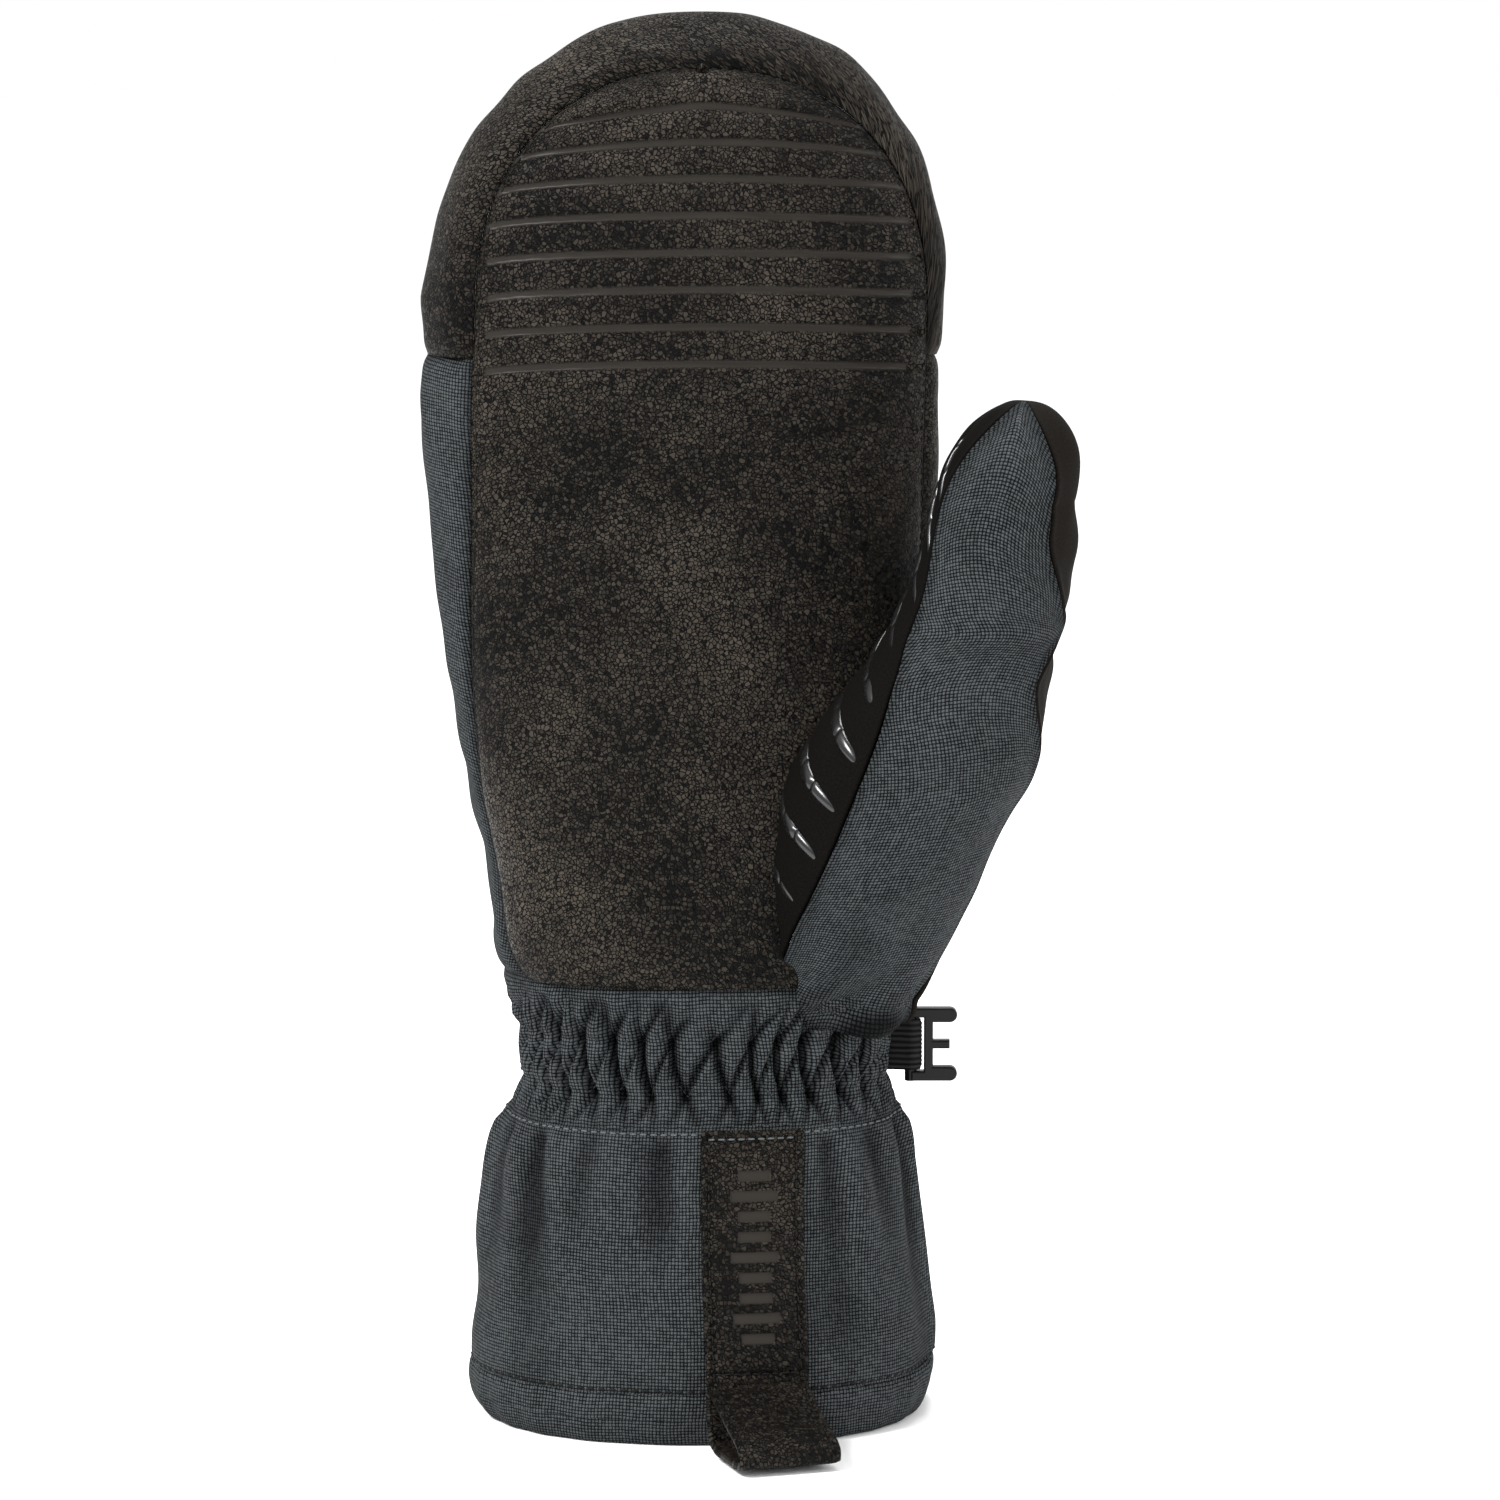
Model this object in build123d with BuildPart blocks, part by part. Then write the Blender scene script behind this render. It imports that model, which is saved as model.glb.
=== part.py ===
"""A right-hand ski mitten that stands upright on its cuff: leather palm, woven shell, lined and insulated.

The frame is the mitten's own: +Z runs from the cuff to the fingertips, -Y is the palm side and +X the
thumb side. The origin is the centre of the cuff's rim, in the plane that the rim rests on. Millimetres.
"""

import os
from math import cos, radians, sin

from build123d import *

# ---- Driving dimensions ------------------------------------------------------------------------------
# Heights along the mitten.
hem_height = 10.5
cuff_height = 65.0
palm_seam_height = 94.0
knuckle_height = 222.0
fingertip_start = 238.0
mitten_height = 300.0

# Half sizes of the outer surface, side to side and palm to back.
hem_half_width, hem_half_depth = 50.0, 42.0
wrist_half_width, wrist_half_depth = 38.8, 30.5
palm_half_width, palm_half_depth = 52.0, 28.0
finger_half_width, finger_half_depth = 56.2, 24.5
finger_offset = -4.3  # the finger part leans away from the thumb

# Layers of the hand part, from the outside in.
shell_thickness = 1.4
membrane_thickness = 0.5
palm_insulation_thickness = 3.0
side_insulation_thickness = 4.5
back_insulation_thickness = 6.0
lining_thickness = 1.2

# Layers of the cuff and the wrist.
cuff_shell_thickness = 1.2
cuff_padding_thickness = 2.0
cuff_lining_thickness = 1.0
elastic_thickness, elastic_width = 1.0, 6.0
lower_elastic_height, upper_elastic_height = 73.0, 84.5

# Thumb.
thumb_root_height = 86.0
thumb_tip_start = 192.0
thumb_tip_height = 219.0
thumb_half_width, thumb_half_depth = 25.0, 21.0
thumb_insulation_thickness = 3.0
thumb_seams = {"front": (25, 124), "inner": (124, 235), "back": (235, 385)}  # degrees round the thumb

# Raised grip strokes on the thumb's inner panel.
stroke_count, stroke_pitch, first_stroke_height = 8, 11.0, 103.0
stroke_width, stroke_proud, stroke_slope = 1.7, 0.7, 32.0
stroke_margin, stroke_spread = 6.0, 56.0  # degrees round the thumb, from the panel's front seam

# Palm panel outline, in front view, and its pressed flex grooves.
palm_edge_outer, palm_edge_thumb = -49.0, 46.5
palm_arch_half_width, palm_arch_height = 48.0, 63.5
groove_count, groove_pitch, groove_width, groove_depth = 8, 7.6, 1.5, 0.6
first_groove_height = 227.0

# Pull tab, and the loop that goes on below it.
tab_foot_height, tab_head_height = 15.4, 67.0
strap_width, strap_thickness = 22.0, 1.6
tab_offset = 12.0
loop_root_height, loop_reach, loop_end_height = 12.8, 26.0, 6.8
loop_clearance, loop_yaw = 0.6, 18.0

# Glove clip on its webbing.
clip_centre_height, clip_height, clip_thickness = 79.0, 16.0, 3.0
webbing_width, webbing_thickness = 11.0, 1.1
bar_radius, bar_stand_off = 1.3, 7.0
clip_arm_width, crossbar_width = 2.2, 2.0
prong_length, prong_width, tongue_width = 3.6, 3.2, 1.9
clip_rounding = 0.5

# Fits.
joint_gap = 0.4  # between bodies that move against each other
bar_clearance = 0.05

# The hand's lower edge rides round a drum across the wrist, and the thumb's round a ball at its base.
wrist_axis_height = 68.0
wrist_drum_radius = 37.0
thumb_ball_centre = (39.5, -24.0, 120.0)
thumb_ball_radius = 26.0

far = 400.0  # longer than anything here, for cutting tools


# ---- The outer forms of the mitten and its thumb -----------------------------------------------------
# Each level is (height, centre across, half width, half depth). The fingertips close in a dome above them.
body_levels = [
    (0.0, 0.0, hem_half_width, hem_half_depth),
    (hem_height, 0.0, hem_half_width, hem_half_depth),
    (0.55 * cuff_height, 0.0, 0.96 * hem_half_width, 0.95 * hem_half_depth),
    (0.84 * cuff_height, 0.0, 0.90 * hem_half_width, 0.87 * hem_half_depth),
    (cuff_height + 3.0, 0.0, wrist_half_width + 1.5, wrist_half_depth + 1.5),
    (cuff_height + 12.0, 0.0, wrist_half_width, wrist_half_depth),
    (palm_seam_height - 8.0, 0.0, wrist_half_width + 1.8, wrist_half_depth + 0.5),
    (palm_seam_height + 8.0, -0.5, 0.5 * (wrist_half_width + palm_half_width), wrist_half_depth),
    (0.6 * palm_seam_height + 0.4 * knuckle_height, -2.0, palm_half_width - 1.0, palm_half_depth),
    (0.3 * palm_seam_height + 0.7 * knuckle_height, -3.4, palm_half_width + 3.0, palm_half_depth - 1.5),
    (knuckle_height - 8.0, finger_offset, finger_half_width - 0.6, finger_half_depth + 0.5),
    (fingertip_start, finger_offset, finger_half_width, finger_half_depth),
]
dome_turns = (18, 36, 52, 66, 77, 85)  # degrees round the dome, from its foot to near its top


def mitten_form(side=0.0, front=None, back=None):
    """The solid inside the outer surface, inset by these distances at the sides, palm and back."""
    front = side if front is None else front
    back = side if back is None else back
    centre_y = (front - back) / 2
    depth_inset = (front + back) / 2
    dome_height = mitten_height - fingertip_start - side
    with BuildPart() as form:
        for height, centre_x, half_width, half_depth in body_levels:
            with BuildSketch(Plane.XY.offset(height)):
                with Locations((centre_x, centre_y)):
                    Ellipse(half_width - side, half_depth - depth_inset)
        for turn in dome_turns:
            with BuildSketch(Plane.XY.offset(fingertip_start + dome_height * sin(radians(turn)))):
                with Locations((finger_offset, centre_y)):
                    Ellipse(
                        (finger_half_width - side) * cos(radians(turn)),
                        (finger_half_depth - depth_inset) * cos(radians(turn)) ** 0.75,
                    )
        loft()
    return form.part


# Thumb levels are (height, centre x, centre y, half width, half depth).
thumb_levels = [
    (thumb_root_height, 27.0, -12.0, 0.52 * thumb_half_width, 0.48 * thumb_half_depth),
    (104.0, 35.5, -20.0, 0.78 * thumb_half_width, 0.81 * thumb_half_depth),
    (120.0, 39.5, -24.0, 0.90 * thumb_half_width, 0.95 * thumb_half_depth),
    (136.0, 44.5, -27.0, thumb_half_width, thumb_half_depth),
    (151.0, 51.0, -29.0, 0.92 * thumb_half_width, 0.95 * thumb_half_depth),
    (166.0, 57.0, -30.0, 0.76 * thumb_half_width, 0.86 * thumb_half_depth),
    (180.0, 62.0, -31.0, 0.67 * thumb_half_width, 0.76 * thumb_half_depth),
    (thumb_tip_start, 65.0, -32.0, 0.61 * thumb_half_width, 0.69 * thumb_half_depth),
]
thumb_lean = (0.11, -0.03)  # how far the tip's centre goes on moving, per millimetre of height


def thumb_form(inset=0.0):
    """The solid inside the thumb's outer surface, inset all round."""
    dome_height = thumb_tip_height - thumb_tip_start - inset
    foot_x, foot_y, foot_half_width, foot_half_depth = thumb_levels[-1][1:]
    with BuildPart() as form:
        for height, centre_x, centre_y, half_width, half_depth in thumb_levels:
            with BuildSketch(Plane.XY.offset(height)):
                with Locations((centre_x, centre_y)):
                    Ellipse(half_width - inset, half_depth - inset)
        for turn in dome_turns:
            rise = dome_height * sin(radians(turn))
            with BuildSketch(Plane.XY.offset(thumb_tip_start + rise)):
                with Locations((foot_x + thumb_lean[0] * rise, foot_y + thumb_lean[1] * rise)):
                    Ellipse(
                        (foot_half_width - inset) * cos(radians(turn)),
                        (foot_half_depth - inset) * cos(radians(turn)) ** 0.75,
                    )
        loft()
    return form.part


# Depth of each layer's inner face below the outer surface: (sides, palm, back).
under_shell = (shell_thickness,) * 3
under_membrane = (shell_thickness + membrane_thickness,) * 3
under_insulation = (
    under_membrane[0] + side_insulation_thickness,
    under_membrane[1] + palm_insulation_thickness,
    under_membrane[2] + back_insulation_thickness,
)
under_lining = tuple(inset + lining_thickness for inset in under_insulation)

outer_form = mitten_form()
shell_form = mitten_form(*under_shell)
membrane_form = mitten_form(*under_membrane)
insulation_form = mitten_form(*under_insulation)
cavity_form = mitten_form(*under_lining)
clear_form = mitten_form(-joint_gap)

thumb_outer = thumb_form()
thumb_shell_form = thumb_form(under_shell[0])
thumb_membrane_form = thumb_form(under_membrane[0])
thumb_insulation_form = thumb_form(under_membrane[0] + thumb_insulation_thickness)
thumb_cavity_form = thumb_form(under_membrane[0] + thumb_insulation_thickness + lining_thickness)

cuff_shell_form = mitten_form(cuff_shell_thickness)
cuff_padding_form = mitten_form(cuff_shell_thickness + cuff_padding_thickness)
cuff_cavity = mitten_form(cuff_shell_thickness + cuff_padding_thickness + cuff_lining_thickness)
elastic_form = mitten_form(cuff_shell_thickness + elastic_thickness)


# ---- Cutting tools -----------------------------------------------------------------------------------
def slab(low, high):
    """Everything between two heights."""
    with BuildPart() as tool:
        with BuildSketch(Plane.XY.offset(low)):
            Rectangle(far, far)
        extrude(amount=high - low)
    return tool.part


def wrist_drum(radius):
    """The drum across the wrist that the hand part turns round, with all that is below its axis."""
    with BuildPart() as tool:
        with BuildSketch(Plane.YZ.offset(-far / 2)):
            with Locations((0, wrist_axis_height)):
                Circle(radius)
            with Locations((0, wrist_axis_height - far / 2)):
                Rectangle(far, far)
        extrude(amount=far)
    return tool.part


def thumb_ball(radius):
    """The ball at the thumb's base that the thumb turns round, with all that is below its centre."""
    centre_x, centre_y, centre_height = thumb_ball_centre
    with BuildPart() as tool:
        with Locations(thumb_ball_centre):
            Sphere(radius)
        with Locations((centre_x, centre_y, centre_height - far / 2)):
            Box(far, far, far)
    return tool.part


def panel_prism(side):
    """The outline of the palm panel (side -1) or the back panel (side 1), cut through that side."""
    middle = (palm_edge_outer + palm_edge_thumb) / 2
    with BuildPart() as tool:
        with BuildSketch(Plane.XZ):
            with Locations((middle, knuckle_height / 2)):
                Rectangle(palm_edge_thumb - palm_edge_outer, knuckle_height)
            with Locations((middle, knuckle_height)):
                Ellipse(palm_arch_half_width, palm_arch_height)
        extrude(amount=-side * far / 2)
    return tool.part


def half_space(direction_x, direction_y):
    """Everything on one side of the mitten's middle: across it, or from palm to back."""
    with BuildPart() as tool:
        with Locations((direction_x * far / 2, direction_y * far / 2, far / 2)):
            Box(far, far, far)
    return tool.part


def thumb_sector(start, stop):
    """A wedge that leans with the thumb. Angles run from the thumb side (0) through the palm side (90)."""
    foot_height, foot_x, foot_y = thumb_levels[0][:3]
    head_height, head_x, head_y = thumb_levels[-1][:3]
    lean = Vector(head_x - foot_x, head_y - foot_y, head_height - foot_height)
    corners = [(foot_x, foot_y)]
    for angle in (start, (start + stop) / 2, stop):
        corners.append((foot_x + far * cos(radians(angle)), foot_y - far * sin(radians(angle))))
    with BuildPart() as tool:
        with BuildSketch(Plane.XY.offset(foot_height)):
            Polygon(*corners, align=None)
        extrude(amount=far, dir=lean)
    return tool.part


def wall(outer, inner, kept, *cut_away):
    """The wall between two nested forms, where every kept tool holds it, less what is cut away."""
    with BuildPart() as between:
        add(outer)
        for tool in kept:
            add(tool, mode=Mode.INTERSECT)
        add(inner, mode=Mode.SUBTRACT)
        for tool in cut_away:
            add(tool, mode=Mode.SUBTRACT)
    return between.part


drum = wrist_drum(wrist_drum_radius)
drum_clearance = wrist_drum(wrist_drum_radius + joint_gap)
ball = thumb_ball(thumb_ball_radius)
ball_clearance = thumb_ball(thumb_ball_radius + joint_gap)
palm_prism, back_prism = panel_prism(-1), panel_prism(1)
palm_half, outer_half = half_space(0, -1), half_space(-1, 0)

cuff_zone = slab(hem_height, cuff_height)
above_cuff = slab(cuff_height, far)
hand_zone = slab(cuff_height, knuckle_height - joint_gap / 2)
finger_zone = slab(knuckle_height + joint_gap / 2, far)

os.makedirs("parts", exist_ok=True)


def write(piece, label):
    """Labels a finished piece and writes it as one STEP file."""
    piece.label = label
    export_step(piece, f"parts/{label}.step")


# ---- Cuff --------------------------------------------------------------------------------------------
# The hem is the shell and the lining folded together round the padding, so it is one thick ring.
write(wall(outer_form, cuff_cavity, [slab(0, hem_height)]), "cuff_hem")
write(wall(outer_form, cuff_shell_form, [cuff_zone]), "cuff_shell")
write(wall(cuff_shell_form, cuff_padding_form, [cuff_zone]), "cuff_padding")
write(wall(cuff_padding_form, cuff_cavity, [cuff_zone]), "cuff_lining")


# ---- Gathered wrist ----------------------------------------------------------------------------------
# It ends in the drum, so that the hand part can bend over it both ways.
write(wall(outer_form, cuff_shell_form, [above_cuff, drum]), "wrist_shell")
write(wall(elastic_form, cuff_cavity, [above_cuff, drum]), "wrist_lining")
for label, height in (
    ("lower_wrist_elastic", lower_elastic_height),
    ("upper_wrist_elastic", upper_elastic_height),
):
    band = slab(height - elastic_width / 2, height + elastic_width / 2)
    write(wall(cuff_shell_form, elastic_form, [band, drum]), label)


# ---- Outer panels of the hand and the fingers --------------------------------------------------------
def part_of(whole, kept, *cut_away):
    """What a piece has within every kept tool, less what is cut away."""
    with BuildPart() as portion:
        add(whole)
        for tool in kept:
            add(tool, mode=Mode.INTERSECT)
        for tool in cut_away:
            add(tool, mode=Mode.SUBTRACT)
    return portion.part


hand_cuts = (drum_clearance, thumb_cavity_form)
hand_shell = wall(outer_form, shell_form, [hand_zone], *hand_cuts)
write(part_of(hand_shell, [palm_prism]), "palm_panel")
write(part_of(hand_shell, [back_prism]), "back_panel")
write(part_of(hand_shell, [outer_half], palm_prism, back_prism), "outer_gusset")
write(part_of(hand_shell, [], palm_prism, back_prism, outer_half), "index_gusset")

finger_shell = wall(outer_form, shell_form, [finger_zone])
write(part_of(finger_shell, [back_prism]), "finger_back_panel")
write(part_of(finger_shell, [], palm_prism, back_prism), "fingertip_wrap")

with BuildPart() as groove_bands:
    for index in range(groove_count):
        with BuildSketch(Plane.XY.offset(first_groove_height + index * groove_pitch)):
            Rectangle(far, far)
        extrude(amount=groove_width)
grooves = wall(outer_form, mitten_form(groove_depth), [groove_bands.part])
write(part_of(finger_shell, [palm_prism], grooves), "finger_palm_panel")


# ---- Membrane, insulation and lining, inside the hand and the fingers --------------------------------
for place, zone, cuts in (("hand", hand_zone, hand_cuts), ("finger", finger_zone, ())):
    write(wall(shell_form, membrane_form, [zone], *cuts), f"{place}_membrane")
    insulation = wall(membrane_form, insulation_form, [zone], *cuts)
    write(part_of(insulation, [palm_half]), f"{place}_palm_insulation")
    write(part_of(insulation, [], palm_half), f"{place}_back_insulation")
    write(wall(insulation_form, cavity_form, [zone], *cuts), f"{place}_lining")


# ---- Thumb, in a base that is sewn to the hand and a free part that turns on it ----------------------
thumb_cuts = (clear_form, drum_clearance)
thumb_layers = (
    ("membrane", wall(thumb_shell_form, thumb_membrane_form, [above_cuff], *thumb_cuts)),
    ("insulation", wall(thumb_membrane_form, thumb_insulation_form, [above_cuff], *thumb_cuts)),
    ("lining", wall(thumb_insulation_form, thumb_cavity_form, [above_cuff], *thumb_cuts)),
)
thumb_shell = wall(thumb_outer, thumb_shell_form, [above_cuff], *thumb_cuts)
thumb_stages = (("thumb_base", [ball], []), ("thumb", [], [ball_clearance]))
for stage, kept, cuts in thumb_stages:
    for panel, (start, stop) in thumb_seams.items():
        write(part_of(thumb_shell, [*kept, thumb_sector(start, stop)], *cuts), f"{stage}_{panel}_panel")
    for layer, whole in thumb_layers:
        write(part_of(whole, kept, *cuts), f"{stage}_{layer}")

# The grip strokes are printed silicone, raised on the inner panel and sloping down away from the palm.
with BuildPart() as stroke_bands:
    for index in range(stroke_count):
        band_plane = Plane(
            origin=(thumb_ball_centre[0], 0, first_stroke_height + index * stroke_pitch),
            z_dir=(sin(radians(stroke_slope)), 0, cos(radians(stroke_slope))),
        )
        with BuildSketch(band_plane):
            Rectangle(far, far)
        extrude(amount=stroke_width)
stroke_start = thumb_seams["inner"][0] + stroke_margin
stroke_sector = thumb_sector(stroke_start, stroke_start + stroke_spread)
strokes = wall(
    thumb_form(-stroke_proud),
    thumb_outer,
    [above_cuff, stroke_sector, stroke_bands.part],
    *thumb_cuts,
)
for stage, kept, cuts in thumb_stages:
    write(part_of(strokes, kept, *cuts), f"{stage}_grip_strokes")


# ---- Pull tab and its loop ---------------------------------------------------------------------------
strap_form = mitten_form(-strap_thickness)
with BuildPart() as tab_outline:
    with BuildSketch(Plane.XZ):
        with Locations((tab_offset, (tab_foot_height + tab_head_height) / 2)):
            Rectangle(strap_width, tab_head_height - tab_foot_height)
    extrude(amount=far / 2)
write(wall(strap_form, outer_form, [tab_outline.part]), "pull_tab")

# The loop's plane stands across the strap and is turned a little towards the thumb.
# Round it run three bends: where the strap leaves the tab, where it turns on the floor, and its far fold.
loop_root = (tab_offset, -hem_half_depth - loop_clearance, 0)
loop_forward = (sin(radians(loop_yaw)), -cos(radians(loop_yaw)), 0)
loop_across = (-cos(radians(loop_yaw)), -sin(radians(loop_yaw)), 0)
loop_bends = (
    (strap_thickness + 0.2, loop_root_height, strap_thickness + 0.2),
    (4.2, 4.2, 4.0),
    (loop_reach - loop_end_height / 2, loop_end_height / 2 + 0.2, loop_end_height / 2),
)
with BuildPart() as pull_loop:
    with BuildSketch(Plane(origin=loop_root, x_dir=loop_forward, z_dir=loop_across)) as outer_turn:
        for forward, height, radius in loop_bends:
            with Locations((forward, height)):
                Circle(radius)
        make_hull()
    extrude(amount=strap_width / 2, both=True)
    with BuildSketch(Plane(origin=loop_root, x_dir=loop_forward, z_dir=loop_across)) as inner_turn:
        for forward, height, radius in loop_bends:
            with Locations((forward, height)):
                Circle(radius - strap_thickness)
        make_hull()
    extrude(amount=strap_width / 2, both=True, mode=Mode.SUBTRACT)
write(pull_loop.part, "pull_loop")


# ---- Glove clip and its webbing ----------------------------------------------------------------------
bar_x = wrist_half_width + bar_stand_off
with BuildPart() as clip_webbing:
    with BuildSketch(Plane.XY.offset(clip_centre_height - webbing_width / 2)):
        with Locations((bar_x, 0)):
            Circle(bar_radius + bar_clearance + webbing_thickness)
        with Locations((bar_x - bar_stand_off - 1, 0)):
            Rectangle(1, 2 * webbing_thickness)
        make_hull()
        with Locations((bar_x, 0)):
            Circle(bar_radius + bar_clearance, mode=Mode.SUBTRACT)
    extrude(amount=webbing_width)
    add(outer_form, mode=Mode.SUBTRACT)
write(clip_webbing.part, "clip_webbing")

# A bar in the webbing, two arms, a crossbar, and two hooks with a flat tongue between them.
arm_height = (clip_height - clip_arm_width) / 2
hook_height = (clip_height - prong_width) / 2
crossbar_x = bar_x + bar_radius + webbing_thickness + joint_gap + crossbar_width / 2
prong_x = crossbar_x + (crossbar_width + prong_length) / 2
with BuildPart() as glove_clip:
    with BuildSketch(Plane.XZ):
        with Locations((crossbar_x, clip_centre_height)):
            Rectangle(crossbar_width, clip_height)
        with Locations(
            ((bar_x + crossbar_x) / 2, clip_centre_height - arm_height),
            ((bar_x + crossbar_x) / 2, clip_centre_height + arm_height),
        ):
            Rectangle(crossbar_x - bar_x, clip_arm_width)
        with Locations((prong_x, clip_centre_height)):
            Rectangle(prong_length, tongue_width)
        with Locations(
            (prong_x, clip_centre_height - hook_height),
            (prong_x, clip_centre_height + hook_height),
        ):
            Rectangle(prong_length, prong_width)
        with Locations(
            (prong_x + prong_length / 2, clip_centre_height - hook_height),
            (prong_x + prong_length / 2, clip_centre_height + hook_height),
        ):
            Circle(prong_width / 2)
    extrude(amount=clip_thickness / 2, both=True)
    broad_faces = glove_clip.faces().sort_by(Axis.Y)
    fillet(broad_faces[0].edges() + broad_faces[-1].edges(), clip_rounding)
    with BuildSketch(Plane.XY.offset(clip_centre_height - clip_height / 2)):
        with Locations((bar_x, 0)):
            Circle(bar_radius)
    extrude(amount=clip_height)
write(glove_clip.part, "glove_clip")
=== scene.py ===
from math import cos, pi, radians, sin

import bpy
import numpy as np
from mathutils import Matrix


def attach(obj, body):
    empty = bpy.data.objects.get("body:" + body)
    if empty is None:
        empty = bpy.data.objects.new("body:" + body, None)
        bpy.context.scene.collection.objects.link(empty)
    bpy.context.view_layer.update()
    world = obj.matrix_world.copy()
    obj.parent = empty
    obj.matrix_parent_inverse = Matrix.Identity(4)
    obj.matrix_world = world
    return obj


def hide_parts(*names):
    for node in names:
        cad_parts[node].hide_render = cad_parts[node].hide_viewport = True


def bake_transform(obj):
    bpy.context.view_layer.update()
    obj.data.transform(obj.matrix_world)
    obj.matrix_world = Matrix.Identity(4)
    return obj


# A right-hand ski mitten standing on its cuff: leather palm, woven shell, insulated and lined.
# Sizes are in millimetres and are turned into metres where a mesh takes its places.
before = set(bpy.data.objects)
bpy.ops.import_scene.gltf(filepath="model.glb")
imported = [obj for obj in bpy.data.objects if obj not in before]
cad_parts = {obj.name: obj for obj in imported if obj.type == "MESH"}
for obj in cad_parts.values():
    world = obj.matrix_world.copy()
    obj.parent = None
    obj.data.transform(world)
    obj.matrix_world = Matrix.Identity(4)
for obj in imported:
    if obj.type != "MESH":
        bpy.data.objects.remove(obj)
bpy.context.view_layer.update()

# ---- Studio ------------------------------------------------------------------------------------------
# A white sweep with soft lights all round and one long-lens camera a little above the mitten's middle,
# facing the palm.
bpy.ops.object.select_all(action="DESELECT")
bpy.ops.mesh.primitive_plane_add(size=12, location=(0, 0, 0))
floor = bpy.context.object
floor.name = "floor"
floor_finish = bpy.data.materials.new("white_sweep")
floor_finish.use_nodes = True
floor_shader = floor_finish.node_tree.nodes["Principled BSDF"]
floor_shader.inputs["Base Color"].default_value = (1, 1, 1, 1)
floor_shader.inputs["Roughness"].default_value = 0.9
floor_shader.inputs["Specular IOR Level"].default_value = 0.1
floor.data.materials.append(floor_finish)

bpy.context.scene.view_settings.view_transform = "Standard"
world = bpy.data.worlds.new("soft_white")
bpy.context.scene.world = world
world.use_nodes = True
world.node_tree.nodes["Background"].inputs["Color"].default_value = (1, 1, 1, 1)
world.node_tree.nodes["Background"].inputs["Strength"].default_value = 1.0

for name, place, aim, size, power in (
    ("key_light", (-1.0, -0.8, 1.35), (0, 0, 0.17), 0.5, 44),
    ("fill_light", (1.3, -0.5, 0.6), (0, 0, 0.15), 0.6, 9),
    ("top_light", (0.1, 0.15, 1.5), (0, 0, 0.2), 0.5, 16),
):
    bpy.ops.object.light_add(type="AREA", location=place)
    light = bpy.context.object
    light.name = name
    light.data.size = size
    light.data.energy = power
    reach = np.array(aim, float) - np.array(place, float)
    light.rotation_euler = (
        float(np.arctan2(np.hypot(reach[0], reach[1]), -reach[2])),
        0,
        float(np.arctan2(-reach[0], reach[1])),
    )

camera_rise = radians(8.0)
camera_distance, camera_aim = 1.5, (0.0112, 0.0, 0.1428)
bpy.ops.object.camera_add(
    location=(
        camera_aim[0],
        camera_aim[1] - camera_distance * cos(camera_rise),
        camera_aim[2] + camera_distance * sin(camera_rise),
    ),
    rotation=(pi / 2 - camera_rise, 0, 0),
)
camera = bpy.context.object
camera.data.sensor_width = 36
camera.data.lens = 168.2
camera.data.clip_end = 30
bpy.context.scene.camera = camera


# ---- Lining of the hand and the fingers --------------------------------------------------------------
# A fleece bag that the hand goes into. It is cut to the mitten's form, a fixed depth below the surface,
# and closes over the fingertips. Outlines are given by height: thumb side, little-finger side, depth.
outline_heights = (
    0, 4.5, 10, 16, 25, 36.5, 48, 55, 63, 67, 71, 76, 83, 89, 94.5, 101, 108.5, 117, 129, 142.5,
    157, 174, 194.5, 216, 224, 233, 240,
)
outer_side = (
    46.5, 48.2, 48.9, 48.7, 47.4, 46.8, 45.5, 44.4, 42.1, 40.2, 37.4, 37.1, 37.4, 40.0, 42.0, 43.3,
    43.9, 44.7, 47.1, 50.1, 52.4, 54.8, 56.8, 58.6, 58.3, 58.0, 58.3,
)
thumb_side = (
    47.5, 49.0, 50.4, 50.5, 49.3, 47.8, 46.9, 45.8, 44.0, 42.7, 40.6, 39.9, 40.2, 41.6, 43.0, 44.6,
    46.0, 47.0, 48.4, 49.5, 50.2, 50.7, 50.9, 51.0, 51.1, 51.4, 51.8,
)
depth_heights = (0, 10, 25, 36, 55, 64, 73, 85, 96, 108, 150, 200, 240)
half_depths = (40.2, 41.6, 41.2, 40.2, 36.8, 33.6, 30.6, 30.4, 31.0, 31.0, 28.2, 25.6, 24.5)
dome_foot, dome_top = 240.0, 300.0
section_power = 2.25


def unit(value):
    """The value, held between 0 and 1."""
    return np.clip(value, 0, 1)


def smooth_line(stations, values, at):
    """A smooth curve through values at stations, read at other places."""
    stations, values, at = np.asarray(stations, float), np.asarray(values, float), np.asarray(at, float)
    slopes = np.gradient(values, stations)
    index = np.clip(np.searchsorted(stations, at) - 1, 0, len(stations) - 2)
    span = stations[index + 1] - stations[index]
    t = unit((at - stations[index]) / span)
    return (
        (2 * t**3 - 3 * t**2 + 1) * values[index]
        + (t**3 - 2 * t**2 + t) * span * slopes[index]
        + (3 * t**2 - 2 * t**3) * values[index + 1]
        + (t**3 - t**2) * span * slopes[index + 1]
    )


def section_at(height):
    """Centre across, half width and half depth of the mitten at a height."""
    height = np.asarray(height, float)
    below = np.minimum(height, dome_foot)
    left = smooth_line(outline_heights, outer_side, below)
    right = smooth_line(outline_heights, thumb_side, below)
    depth = smooth_line(depth_heights, half_depths, below)
    rise = unit((height - dome_foot) / (dome_top - dome_foot))
    close = np.sqrt(1 - rise**2)
    centre = (right - left) / 2 * (1 - rise) + 0.8 * rise
    return centre, (right + left) / 2 * close**0.88, depth * close**0.8


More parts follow.
